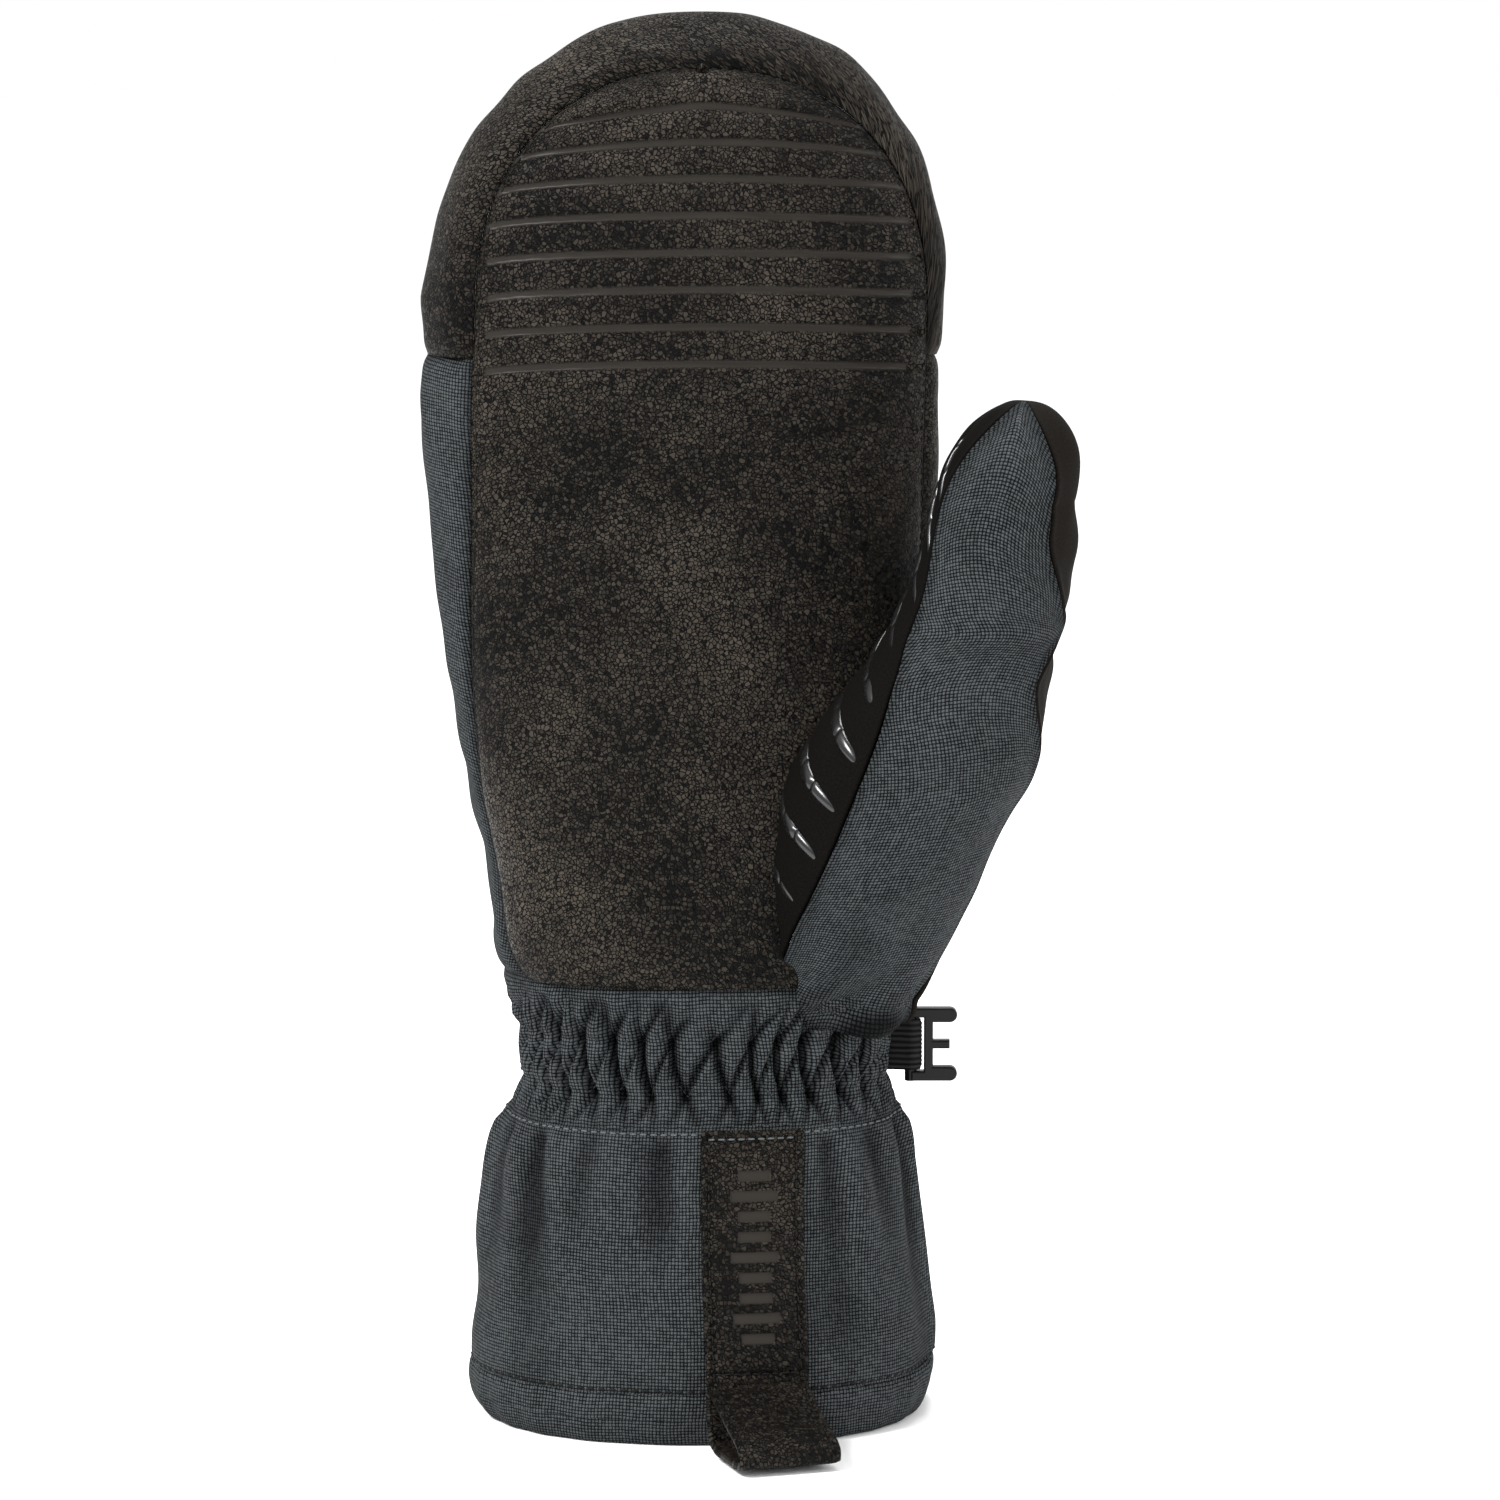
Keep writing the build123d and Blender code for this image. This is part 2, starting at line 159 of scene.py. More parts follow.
def surface_depth(x, height, inset=0.0):
    """How far the surface stands from the middle plane, at a place in front view."""
    centre, width, depth = section_at(height)
    width, depth = np.maximum(width - inset, 1e-3), np.maximum(depth - inset, 1e-3)
    share = unit(np.abs((x - centre) / width))
    return depth * (1 - share**section_power) ** (1 / section_power)


def ring_point(turn, height, inset=0.0):
    """A point of the mitten's section, at a share of a full turn that starts and ends at the back."""
    centre, width, depth = section_at(height)
    angle = pi / 2 + 2 * pi * turn
    across, deep = np.cos(angle), np.sin(angle)
    x = centre + np.maximum(width - inset, 0.01) * np.sign(across) * np.abs(across) ** (2 / section_power)
    y = np.maximum(depth - inset, 0.01) * np.sign(deep) * np.abs(deep) ** (2 / section_power)
    return np.stack([x, y, height], axis=-1)


panels = {}


def lay_panel(name, columns, rows, place, relief=None, thickness=1.0, closed=False):
    """A sheet of cloth or leather laid on the form: a grid whose points are moved to their places.

    place(u, v) gives the places in millimetres, and relief(U, V, edges, grid) how far each stands proud.
    U and V are millimetres along the sheet, and edges the distances to its left, right, foot and head.
    """
    bpy.ops.object.select_all(action="DESELECT")
    bpy.ops.mesh.primitive_grid_add(x_subdivisions=columns, y_subdivisions=rows, size=1)
    piece = bpy.context.object
    piece.name = name
    u_share, v_share = np.meshgrid(np.linspace(0, 1, columns + 1), np.linspace(0, 1, rows + 1))
    base = place(u_share, v_share)
    step_u = np.linalg.norm(np.diff(base, axis=1), axis=2)
    step_v = np.linalg.norm(np.diff(base, axis=0), axis=2)
    along_u = np.concatenate([np.zeros((rows + 1, 1)), np.cumsum(step_u, axis=1)], axis=1)
    along_v = np.concatenate([np.zeros((1, columns + 1)), np.cumsum(step_v, axis=0)], axis=0)
    edges = (along_u, along_u[:, -1:] - along_u, along_v, along_v[-1:, :] - along_v)
    if closed:
        wide = np.concatenate([base[:, -3:-1], base, base[:, 1:3]], axis=1)
        tangent_u = np.gradient(wide, axis=1)[:, 2:-2]
    else:
        tangent_u = np.gradient(base, axis=1)
    tangent_v = np.gradient(base, axis=0)
    normal = np.cross(tangent_u, tangent_v)
    normal /= np.maximum(np.linalg.norm(normal, axis=2, keepdims=True), 1e-9)
    U = along_u - along_u[:, columns // 2 : columns // 2 + 1]
    proud = np.zeros(U.shape) if relief is None else relief(U, along_v, edges, (u_share, v_share))
    final = base + normal * proud[..., None]
    panels[name] = {"places": final, "normals": normal, "edges": edges, "U": U}

    mesh = piece.data
    flat = np.empty(len(mesh.vertices) * 3)
    mesh.vertices.foreach_get("co", flat)
    flat = flat.reshape(-1, 3)
    column = np.rint((flat[:, 0] + 0.5) * columns).astype(int)
    row = np.rint((flat[:, 1] + 0.5) * rows).astype(int)
    mesh.vertices.foreach_set("co", (final[row, column] / 1000).ravel())
    # Shade is painted into the creases: their depth is kept as an attribute, and the woven finish darkens
    # its colour there.
    painted_crease_shade = mesh.attributes.new("painted_crease_shade", "FLOAT", "POINT")
    painted_crease_shade.data.foreach_set("value", unit(-proud[row, column] / 2.4).astype(np.float32))
    layer = mesh.uv_layers.active or mesh.uv_layers.new(name="UVMap")
    corner = np.empty(len(mesh.loops), int)
    mesh.loops.foreach_get("vertex_index", corner)
    uv = np.stack([U[row, column], along_v[row, column]], axis=1)[corner] / 1000
    layer.data.foreach_set("uv", uv.astype(np.float32).ravel())
    mesh.update()
    bpy.ops.object.mode_set(mode="EDIT")
    bpy.ops.mesh.select_all(action="SELECT")
    bpy.ops.mesh.remove_doubles(threshold=0.00002)
    bpy.ops.object.mode_set(mode="OBJECT")
    bpy.ops.object.shade_smooth()
    if thickness:
        bpy.ops.object.modifier_add(type="SOLIDIFY")
        solid = piece.modifiers[-1]
        solid.thickness = thickness / 1000
        solid.offset = -1
        solid.use_rim = True
        bpy.ops.object.modifier_apply(modifier=solid.name)
    return piece


class Finish:
    """A finish that is built up a node at a time, from numbers, colours and other nodes' outputs."""

    def __init__(self, name, roughness, specular):
        self.material = bpy.data.materials.new(name)
        self.material.use_nodes = True
        self.tree = self.material.node_tree
        self.shader = self.tree.nodes["Principled BSDF"]
        self.feed(self.shader, {"Roughness": roughness, "Specular IOR Level": specular})

    def feed(self, node, inputs):
        for socket, value in inputs.items():
            if isinstance(value, bpy.types.NodeSocket):
                self.tree.links.new(value, node.inputs[socket])
            else:
                node.inputs[socket].default_value = value

    def add(self, kind, output, inputs=None, **settings):
        """Adds a node and gives one of its outputs."""
        node = self.tree.nodes.new("ShaderNode" + kind)
        for setting, value in settings.items():
            setattr(node, setting, value)
        self.feed(node, inputs or {})
        return node.outputs[output]

    def maths(self, operation, *values):
        return self.add("Math", "Value", dict(enumerate(values)), operation=operation)

    def tone(self, share, dark, light, low, high):
        """A colour that goes from dark to light as the share goes from low to high."""
        colour = self.add("ValToRGB", "Color", {"Fac": share})
        for element, position, shade in zip(colour.node.color_ramp.elements, (low, high), (dark, light)):
            element.position = position
            element.color = (*shade, 1)
        return colour

    def bump(self, height, depth, strength=1.0):
        """Roughens the surface, with a depth in millimetres where the height is 1."""
        inputs = {"Height": height, "Distance": depth / 1000, "Strength": strength}
        self.feed(self.shader, {"Normal": self.add("Bump", "Normal", inputs)})


def fleece_finish(name, dark, light, grain, depth, rough=0.95, specular=0.15, sheen=0.35, through=False):
    """Fibre: a soft noise on the piece's own sheet, or through the piece for thread, with sheen."""
    finish = Finish(name, rough, specular)
    place = finish.add("TexCoord", "Object") if through else finish.add("UVMap", "UV")
    fibres = finish.add("TexNoise", "Fac", {"Vector": place, "Scale": 1000 / grain, "Detail": 6})
    tint = finish.tone(fibres, dark, light, 0.3, 0.75)
    finish.feed(finish.shader, {"Base Color": tint, "Sheen Weight": sheen})
    finish.bump(fibres, depth, 0.8)
    return finish.material


def shades(*colour):
    """The darkest and the lightest fibres of a colour."""
    return [c * 0.55 for c in colour], [min(c * 1.3, 1) for c in colour]


lining_fleece = fleece_finish("lining_fleece", *shades(0.05, 0.05, 0.055), 0.9, 0.5)


def bag_place(foot, inset):
    """The form from a height up to its closed top, a fixed depth below the surface."""

    def place(u, v):
        straight = dome_foot - foot
        length = straight + 75.0
        run = v * length
        turn = unit((run - straight) / 75.0) * pi / 2
        below = run < straight
        height = np.where(below, foot + run, dome_foot + (dome_top - dome_foot - inset) * np.sin(turn))
        centre, width, depth = section_at(np.where(below, height, dome_foot))
        rise = np.sin(turn)
        close = np.sqrt(unit(1 - rise**2))
        centre = centre * (1 - rise) + 0.8 * rise
        angle = pi / 2 + 2 * pi * u
        across, deep = np.cos(angle), np.sin(angle)
        x = centre + (width - inset) * close**0.88 * np.sign(across) * np.abs(across) ** (2 / section_power)
        y = (depth - inset) * close**0.8 * np.sign(deep) * np.abs(deep) ** (2 / section_power)
        return np.stack([x, y, height], axis=-1)

    return place


hand_lining = lay_panel("hand_and_finger_lining", 96, 90, bag_place(96.0, 6.9), None, 1.2, closed=True)
hand_lining.data.materials.append(lining_fleece)
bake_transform(hand_lining)
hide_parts("hand_lining", "finger_lining")


# ---- Lining of the wrist and the cuff ----------------------------------------------------------------
# The bag's fleece goes on down through the wrist, and the cuff is faced with the same cloth down to
# the hem. Both are plain tubes.
wrist_lining = lay_panel(
    "wrist_lining_tube",
    96,
    30,
    lambda u, v: ring_point(u, 66.5 + 30.0 * v, 5.2),
    lambda U, V, edges, grid: 0.35 * np.sin(2 * pi * 16 * grid[0]) * np.sin(pi * grid[1]),
    1.0,
    closed=True,
)
wrist_lining.data.materials.append(lining_fleece)
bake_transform(wrist_lining)
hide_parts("wrist_lining")

cuff_facing = lay_panel(
    "cuff_facing",
    120,
    56,
    lambda u, v: ring_point(u, 10.2 + 56.6 * v, 4.0),
    lambda U, V, edges, grid: 0.5 * np.sin(2 * pi * 9 * grid[0] + 1.0) * np.sin(pi * grid[1]),
    0.9,
    closed=True,
)
cuff_facing.data.materials.append(lining_fleece)
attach(cuff_facing, "cuff")
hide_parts("cuff_lining")


# ---- Insulation and membrane of the hand and the fingers ---------------------------------------------
# Lofted wadding is quilted between the lining and a thin waterproof film, and both close over the
# fingertips with the shell. They only show where a seam gapes.
wadding = fleece_finish("wadding", *shades(0.80, 0.80, 0.78), 2.2, 1.0)
hand_wadding = lay_panel(
    "hand_and_finger_wadding",
    96,
    80,
    bag_place(96.5, 2.9),
    lambda U, V, edges, grid: 0.4 * np.sin(U / 6.5) * np.sin(V / 8.0),
    3.2,
    closed=True,
)
hand_wadding.data.materials.append(wadding)
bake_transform(hand_wadding)
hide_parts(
    "hand_palm_insulation",
    "hand_back_insulation",
    "finger_palm_insulation",
    "finger_back_insulation",
)

film = fleece_finish("waterproof_film", *shades(0.72, 0.74, 0.77), 3.5, 0.1, rough=0.4)
hand_film = lay_panel("hand_and_finger_film", 96, 80, bag_place(96.5, 2.3), None, 0.25, closed=True)
hand_film.data.materials.append(film)
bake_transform(hand_film)
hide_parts("hand_membrane", "finger_membrane")

cuff_wadding = lay_panel(
    "cuff_wadding", 96, 40, lambda u, v: ring_point(u, 10.5 + 55.5 * v, 2.9), None, 1.0, closed=True
)
cuff_wadding.data.materials.append(wadding)
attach(cuff_wadding, "cuff")
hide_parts("cuff_padding")


# ---- Leather palm ------------------------------------------------------------------------------------
# One piece of fine-grained leather from the wrist seam to the arch round the fingertips. Eight flex
# lines are pressed across the fingers, and the leather puffs softly between them.
seam_heights = (94, 96, 101, 108, 115, 122, 135, 150, 200, 226, 238)
outer_seam = (-36.6, -37.6, -40.4, -41.9, -42.7, -43.9, -46.4, -48.0, -48.1, -47.7, -47.0)
thumb_seam = (37.0, 38.0, 40.0, 42.0, 43.5, 44.6, 46.2, 47.4, 48.6, 49.3, 49.4)
palm_foot, arch_foot, arch_rise = 96.0, 238.0, 51.0
arch_power = 2 / 2.25


def hump(distance, width, power=2):
    """A smooth hump: 1 where the distance is nought, and gone within a few widths."""
    return np.exp(-(np.abs(distance / width) ** power))


def roughness_of_cloth(seed, count, longest, shortest):
    """A smooth random relief over a sheet: waves of many lengths, directions and phases."""
    source = np.random.default_rng(seed)
    lengths = np.exp(source.uniform(np.log(shortest), np.log(longest), count))
    headings = source.uniform(0, 2 * pi, count)
    phases = source.uniform(0, 2 * pi, count)
    weights = (lengths / longest) ** 0.7

    def relief(U, V):
        total = np.zeros_like(U)
        for length, heading, phase, weight in zip(lengths, headings, phases, weights):
            total += weight * np.sin(2 * pi * (U * np.cos(heading) + V * np.sin(heading)) / length + phase)
        return total / np.sqrt(np.sum(weights**2))

    return relief


def arch_point(turn):
    """The seam between the finger leather and the fingertip wrap: 0 at the outer side, 1 at the other."""
    angle = pi * turn
    left, right = -47.0, 49.4
    half = (right - left) / 2
    across = -np.cos(angle)
    x = (left + right) / 2 + half * np.sign(across) * np.abs(across) ** arch_power
    height = arch_foot + arch_rise * np.abs(np.sin(angle)) ** arch_power
    return x, height


def leather_place(side):
    """Places of the palm (side -1) or the back (side 1), within its seams."""

    def place(u, v):
        straight, arch = arch_foot - palm_foot, 66.0
        # Below the flex lines the rows of the grid lie wider apart.
        plain_share, plain = 0.36, 222.0 - palm_foot
        run = np.where(
            v < plain_share,
            plain * v / plain_share,
            plain + (straight + arch - plain) * (v - plain_share) / (1 - plain_share),
        )
        height = palm_foot + np.minimum(run, straight)
        turn = unit((run - straight) / arch) / 2
        left = smooth_line(seam_heights, outer_seam, height)
        right = smooth_line(seam_heights, thumb_seam, height)
        arch_left, arch_height = arch_point(turn)
        arch_right, _ = arch_point(1 - turn)
        over = run > straight
        left, right = np.where(over, arch_left, left), np.where(over, arch_right, right)
        height = np.where(over, arch_height, height)
        share = u if side < 0 else 1 - u
        x = left + (right - left) * share
        return np.stack([x, side * surface_depth(x, height), height], axis=-1)

    return place


def seam_dip(distance, depth=1.1, reach=1.7):
    """How a sewn edge pulls in towards its seam."""
    return -depth * hump(distance, reach, 1.4)


groove_heights = [226.8 + 7.75 * index for index in range(8)]
palm_waves = roughness_of_cloth(3, 26, 60, 12)
palm_creases = roughness_of_cloth(8, 22, 26, 9)


def groove_distance(U, height):
    """How far a place is from the middle of the nearest flex line."""
    return np.min([np.abs(height - (level + 1.1 * np.cos(U / 40))) for level in groove_heights], axis=0)


def palm_relief(U, V, edges, grid):
    left, right, foot, head = edges
    height = palm_foot + V
    proud = seam_dip(np.minimum(left, right)) + seam_dip(head, 1.1, 1.8) + seam_dip(foot, 0.35, 1.2)
    calm = unit(np.minimum(left, right) / 9)
    proud += calm * (0.40 * palm_waves(U, V) + 0.06 * palm_creases(U, V))
    # A soft hollow crosses the palm below the flex lines, and the heel of the hand is fuller.
    lean = 0.12 * U
    proud += calm * (0.9 * hump(height - 150, 26) - 1.5 * hump(height - 207 - lean, 9))
    proud += calm * 0.9 * hump(height - 190 - lean, 10)
    margin = unit((np.minimum(np.minimum(left, right), head) - 1.6) / 0.8)
    away = groove_distance(U, height)
    proud -= 0.75 * margin * unit((1.05 - away) / 0.35)
    proud = proud + calm * 0.42 * hump(away - 3.4, 1.9) * (height > 222)
    return np.maximum(proud, -1.5)


palm_leather = lay_panel("palm_leather", 116, 400, leather_place(-1), palm_relief, 1.1)


def leather_finish(name, dark, light, cell, rough, glossy, pressed=False):
    """Leather with a fine crackle: cells with dark cracks between them, and slow changes of tone and gloss.
    The lighter slow patches of tone are partly the leather's own and partly painted highlights.

    On a pressed leather the crackle gives way to a smooth, paler floor where the piece is pressed.
    """
    finish = Finish(name, rough, 0.07)
    sheet = finish.add("UVMap", "UV")
    wander = finish.add("TexNoise", "Color", {"Vector": sheet, "Scale": 420, "Detail": 2})
    pushed = {"Fac": 0.0006, "Color1": sheet, "Color2": wander}
    shaken = finish.add("MixRGB", "Color", pushed, blend_type="LINEAR_LIGHT")
    cell_place = {"Vector": shaken, "Scale": 1000 / cell}
    cracks = finish.add("TexVoronoi", "Distance", cell_place, feature="DISTANCE_TO_EDGE")
    crack_width = {"Value": cracks, "From Max": 0.13}
    plateau = finish.add("MapRange", "Result", crack_width, interpolation_type="SMOOTHSTEP")
    cell_tone = finish.add("SeparateColor", "Red", {"Color": finish.add("TexVoronoi", "Color", cell_place)})
    slow = finish.add("TexNoise", "Fac", {"Vector": sheet, "Scale": 20, "Detail": 5, "Roughness": 0.55})
    # The slow mottle lightens the colour in patches: partly the leather's own tone, partly painted
    # highlights.
    grain_tone_and_painted_highlight = finish.maths("MULTIPLY", finish.maths("MULTIPLY_ADD", cell_tone, 0.22, slow), plateau)
    tone = finish.tone(grain_tone_and_painted_highlight, dark, light, 0.44, 0.90)
    worn = {"Value": grain_tone_and_painted_highlight, "From Min": 0.35, "From Max": 0.85, "To Min": rough, "To Max": glossy}
    gloss = finish.add("MapRange", "Result", worn)
    fine = finish.add("TexNoise", "Fac", {"Vector": sheet, "Scale": 2600, "Detail": 3})
    relief, strength = finish.maths("MULTIPLY_ADD", fine, 0.3, plateau), 1.0
    if pressed:
        floor_share = finish.add("Attribute", "Fac", attribute_name="pressed")
        floor_tone = {"Fac": floor_share, "Color1": tone, "Color2": (0.020, 0.0175, 0.015, 1)}
        tone = finish.add("MixRGB", "Color", floor_tone)
        gloss = finish.add("Mix", 0, {0: floor_share, 2: gloss, 3: 0.34})
        strength = finish.maths("SUBTRACT", 1.0, floor_share)
    finish.feed(finish.shader, {"Base Color": tone, "Roughness": gloss})
    finish.bump(relief, 0.40, strength)
    return finish.material


def press(piece, share):
    """Stores how far each of the piece's corners lies in a pressed line, by its own sheet place."""
    mesh = piece.data
    uv = np.empty(len(mesh.loops) * 2)
    mesh.uv_layers.active.data.foreach_get("uv", uv)
    uv = uv.reshape(-1, 2) * 1000
    values = share(uv[:, 0], uv[:, 1]).astype(np.float32)
    layer = mesh.attributes.new("pressed", "FLOAT", "CORNER")
    layer.data.foreach_set("value", values)


# The light end of the palm's tones is partly a painted highlight.
palm_tones_and_painted_highlights = (0.0008, 0.0006, 0.0005), (0.0530, 0.0442, 0.0345)
grain_leather = leather_finish("crackle_leather", *palm_tones_and_painted_highlights, 0.85, 0.6, 0.34)
grooved_leather = leather_finish(
    "crackle_leather_with_flex_lines", *palm_tones_and_painted_highlights, 0.85, 0.6, 0.34, pressed=True
)
press(
    palm_leather,
    lambda across, up: unit((1.0 - groove_distance(across, palm_foot + up)) / 0.35)
    * unit((47.0 - np.abs(across)) / 1.0),
)
palm_leather.data.materials.append(grooved_leather)
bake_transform(palm_leather)
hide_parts("palm_panel", "finger_palm_panel")


# ---- Fingertip wrap ----------------------------------------------------------------------------------
# A band of the same leather goes round the fingertips from the palm's arch to the back's, and is
# fuller than its neighbours.
wrap_foot = 228.0


def wrap_place(u, v):
    side_run, arch_run = 10.0, 150.0
    whole = 2 * side_run + arch_run
    run = v * whole
    rising = unit(run / side_run)
    falling = unit((run - side_run - arch_run) / side_run)
    turn = unit((run - side_run) / arch_run)
    seam_x, seam_height = arch_point(turn)
    climb = np.where(falling > 0, 1 - falling, rising)
    low = wrap_foot + (arch_foot - wrap_foot) * climb
    on_side = (run < side_run) | (falling > 0)
    seam_x = np.where(run < side_run, smooth_line(seam_heights, outer_seam, low), seam_x)
    seam_x = np.where(falling > 0, smooth_line(seam_heights, thumb_seam, low), seam_x)
    seam_height = np.where(on_side, low, seam_height)
    angle = pi * turn
    rise = np.abs(np.sin(angle))
    edge_height = np.where(on_side, low, dome_foot + (dome_top - dome_foot) * rise)
    edge_height = np.where(on_side, wrap_foot + (dome_foot - wrap_foot) * climb, edge_height)
    centre, width, _ = section_at(np.minimum(edge_height, dome_foot))
    close = np.abs(np.cos(angle)) ** 0.88
    edge_x = centre * (1 - rise) + 0.8 * rise - np.sign(np.cos(angle)) * width * close
    edge_x = np.where(run < side_run, centre - width, edge_x)
    edge_x = np.where(falling > 0, centre + width, edge_x)
    # Across the band: the palm seam at one side, the outermost line in the middle, the back seam.
    across = 1 - 2 * u
    lean = np.sin(pi / 2 * (1 - np.abs(across)))
    x = seam_x + (edge_x - seam_x) * lean
    height = seam_height + (edge_height - seam_height) * lean
    y = np.sign(across) * surface_depth(x, height)
    return np.stack([x, np.where(np.abs(across) < 1e-6, 0, y), height], axis=-1)


wrap_waves = roughness_of_cloth(14, 24, 40, 8)


def wrap_relief(U, V, edges, grid):
    left, right, foot, head = edges
    side = np.minimum(left, right)
    proud = seam_dip(side, 1.1, 1.5) + seam_dip(np.minimum(foot, head), 1.0, 1.6)
    calm = unit(side / 7)
    return proud + 0.9 * hump(side - 4.5, 4.5) + calm * 0.3 * wrap_waves(U, V)


fingertip_wrap = lay_panel("fingertip_wrap_leather", 96, 220, wrap_place, wrap_relief, 1.1)
fingertip_wrap.data.materials.append(grain_leather)
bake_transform(fingertip_wrap)
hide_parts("fingertip_wrap")


# ---- Woven back --------------------------------------------------------------------------------------
# The back of the hand is heavy plain-weave polyester to the same arch, padded softly from behind. It
# is sewn to the fingertip wrap and to the side gussets.
def weave_finish(name, dark, light, pitch):
    """Heavy plain weave: threads pass over and under each other, a pitch apart both ways."""
    finish = Finish(name, 0.82, 0.05)
    maths = finish.maths
    sheet = finish.add("UVMap", "UV")
    drift = finish.add("TexNoise", "Color", {"Vector": sheet, "Scale": 110, "Detail": 1})
    shaken = {"Fac": 0.00035, "Color1": sheet, "Color2": drift}
    shaken = finish.add("MixRGB", "Color", shaken, blend_type="LINEAR_LIGHT")
    axes = finish.add("SeparateXYZ", "X", {"Vector": shaken}).node.outputs
    weft, warp = [maths("MULTIPLY", axes[axis], 1000 / pitch) for axis in ("X", "Y")]
    weft_hump, warp_hump = [
        maths("SINE", maths("MULTIPLY", maths("FRACT", run), pi)) for run in (weft, warp)
    ]
    weft_thread, warp_thread = maths("FLOOR", weft), maths("FLOOR", warp)
    parity = maths("PINGPONG", maths("ADD", weft_thread, warp_thread), 1.0)
    over_warp = maths("MULTIPLY", maths("POWER", weft_hump, 0.9), maths("POWER", warp_hump, 0.35))
    over_weft = maths("MULTIPLY", maths("POWER", warp_hump, 0.9), maths("POWER", weft_hump, 0.35))
    height = finish.add("Mix", 0, {0: parity, 2: over_warp, 3: over_weft}, data_type="FLOAT")
    crossing = finish.add("CombineXYZ", "Vector", {"X": weft_thread, "Y": warp_thread})
    thread = finish.add("TexWhiteNoise", "Value", {"Vector": crossing}, noise_dimensions="2D")
    slow = finish.add("TexNoise", "Fac", {"Vector": sheet, "Scale": 45, "Detail": 4})
    tone = maths("MULTIPLY_ADD", thread, 0.30, maths("MULTIPLY_ADD", slow, 0.35, -0.30))
    shade = finish.tone(maths("ADD", height, tone), dark, light, 0.28, 1.0)
    # Painted shade: the colour is multiplied darker where the cloth lies in a crease.
    crease = maths("POWER", finish.add("Attribute", "Fac", attribute_name="painted_crease_shade"), 0.8)
    crease_shaded_colour = {"Fac": crease, "Color1": shade, "Color2": (0.10, 0.10, 0.11, 1)}
    crease_shaded_colour = finish.add("MixRGB", "Color", crease_shaded_colour, blend_type="MULTIPLY")
    finish.feed(finish.shader, {"Base Color": crease_shaded_colour})
    finish.bump(height, 0.22)
    return finish.material


slate_weave = weave_finish("slate_weave", (0.0014, 0.0017, 0.0019), (0.0545, 0.0610, 0.0638), 0.74)
back_waves = roughness_of_cloth(21, 26, 75, 12)


def back_relief(U, V, edges, grid):
    left, right, foot, head = edges
    side = np.minimum(np.minimum(left, right), np.minimum(foot, head))
    return seam_dip(side, 1.0, 1.6) + unit(side / 12) * (0.6 * back_waves(U, V) + 0.4)


woven_back = lay_panel("woven_back", 110, 240, leather_place(1), back_relief, 1.1)
woven_back.data.materials.append(slate_weave)
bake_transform(woven_back)
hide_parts("back_panel", "finger_back_panel")


# ---- Side gussets ------------------------------------------------------------------------------------
# A strip down each side joins palm and back, woven on the little-finger side and leather on the
# thumb side, where the fingertip wrap's leather goes on down.
def gusset_place(side):
    """Places of a strip at one side: -1 is the little-finger side, 1 the thumb side."""

    def place(u, v):
        height = palm_foot + (wrap_foot - palm_foot) * v
        centre, width, _ = section_at(height)
        edge_x = centre + side * width
        seam_x = smooth_line(seam_heights, outer_seam if side < 0 else thumb_seam, height)
        across = (1 - 2 * u) if side < 0 else (2 * u - 1)
        x = seam_x + (edge_x - seam_x) * np.sin(pi / 2 * (1 - np.abs(across)))
        y = np.sign(across) * surface_depth(x, height)
        return np.stack([x, np.where(np.abs(across) < 1e-6, 0, y), height], axis=-1)

    return place


gusset_waves = roughness_of_cloth(31, 20, 40, 10)


def gusset_relief(U, V, edges, grid):
    left, right, foot, head = edges
    side = np.minimum(np.minimum(left, right), np.minimum(foot, head))
    return seam_dip(side, 1.0, 1.5) + unit(side / 8) * (0.45 * gusset_waves(U, V) + 0.3)


for name, side, finish, slot_name, node in (
    ("outer_gusset_cloth", -1, slate_weave, "woven_shell", "outer_gusset"),
    ("index_gusset_leather", 1, grain_leather, "grain_leather", "index_gusset"),
):
    gusset = lay_panel(name, 48, 170, gusset_place(side), gusset_relief, 1.1)
    gusset.data.materials.append(finish)
    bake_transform(gusset)
    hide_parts(node)


# ---- Thumb -------------------------------------------------------------------------------------------
# The thumb is a sock of three panels: woven cloth towards the palm side, and suede inside and at the
# back. It grows out of the palm's lower corner and leans away from the fingers.
thumb_heights = (
    84, 90, 98, 104, 111, 117, 123.5, 129, 134, 140, 146, 151, 155, 160, 164, 171, 175, 181, 187,
    195, 200,
)
thumb_left = (
    19, 17.6, 16.6, 16.3, 16.3, 16.5, 16.9, 17.4, 18.1, 19.6, 22.4, 25.6, 28.6, 32.4, 35.4, 39.6,
    41.9, 45.0, 47.2, 49.3, 50.4,
)
thumb_right = (
    38, 43.2, 49.0, 52.0, 55.0, 57.6, 60.0, 62.4, 64.9, 68.2, 70.4, 71.6, 72.5, 73.2, 73.6, 74.2,
    75.6, 77.4, 78.2, 78.2, 77.8,
)
thumb_deep_heights = (84, 98, 111, 123, 134, 146, 155, 164, 175, 187, 200)
thumb_centre_y = (-12, -18, -21.5, -24.8, -26.6, -28.3, -29.2, -29.8, -30.6, -31.5, -32.3)
thumb_half_depth = (9.5, 14.2, 17.8, 19.8, 20.4, 20.0, 19.2, 18.0, 16.2, 15.0, 14.0)
thumb_dome_foot, thumb_dome_top = 200.0, 219.6


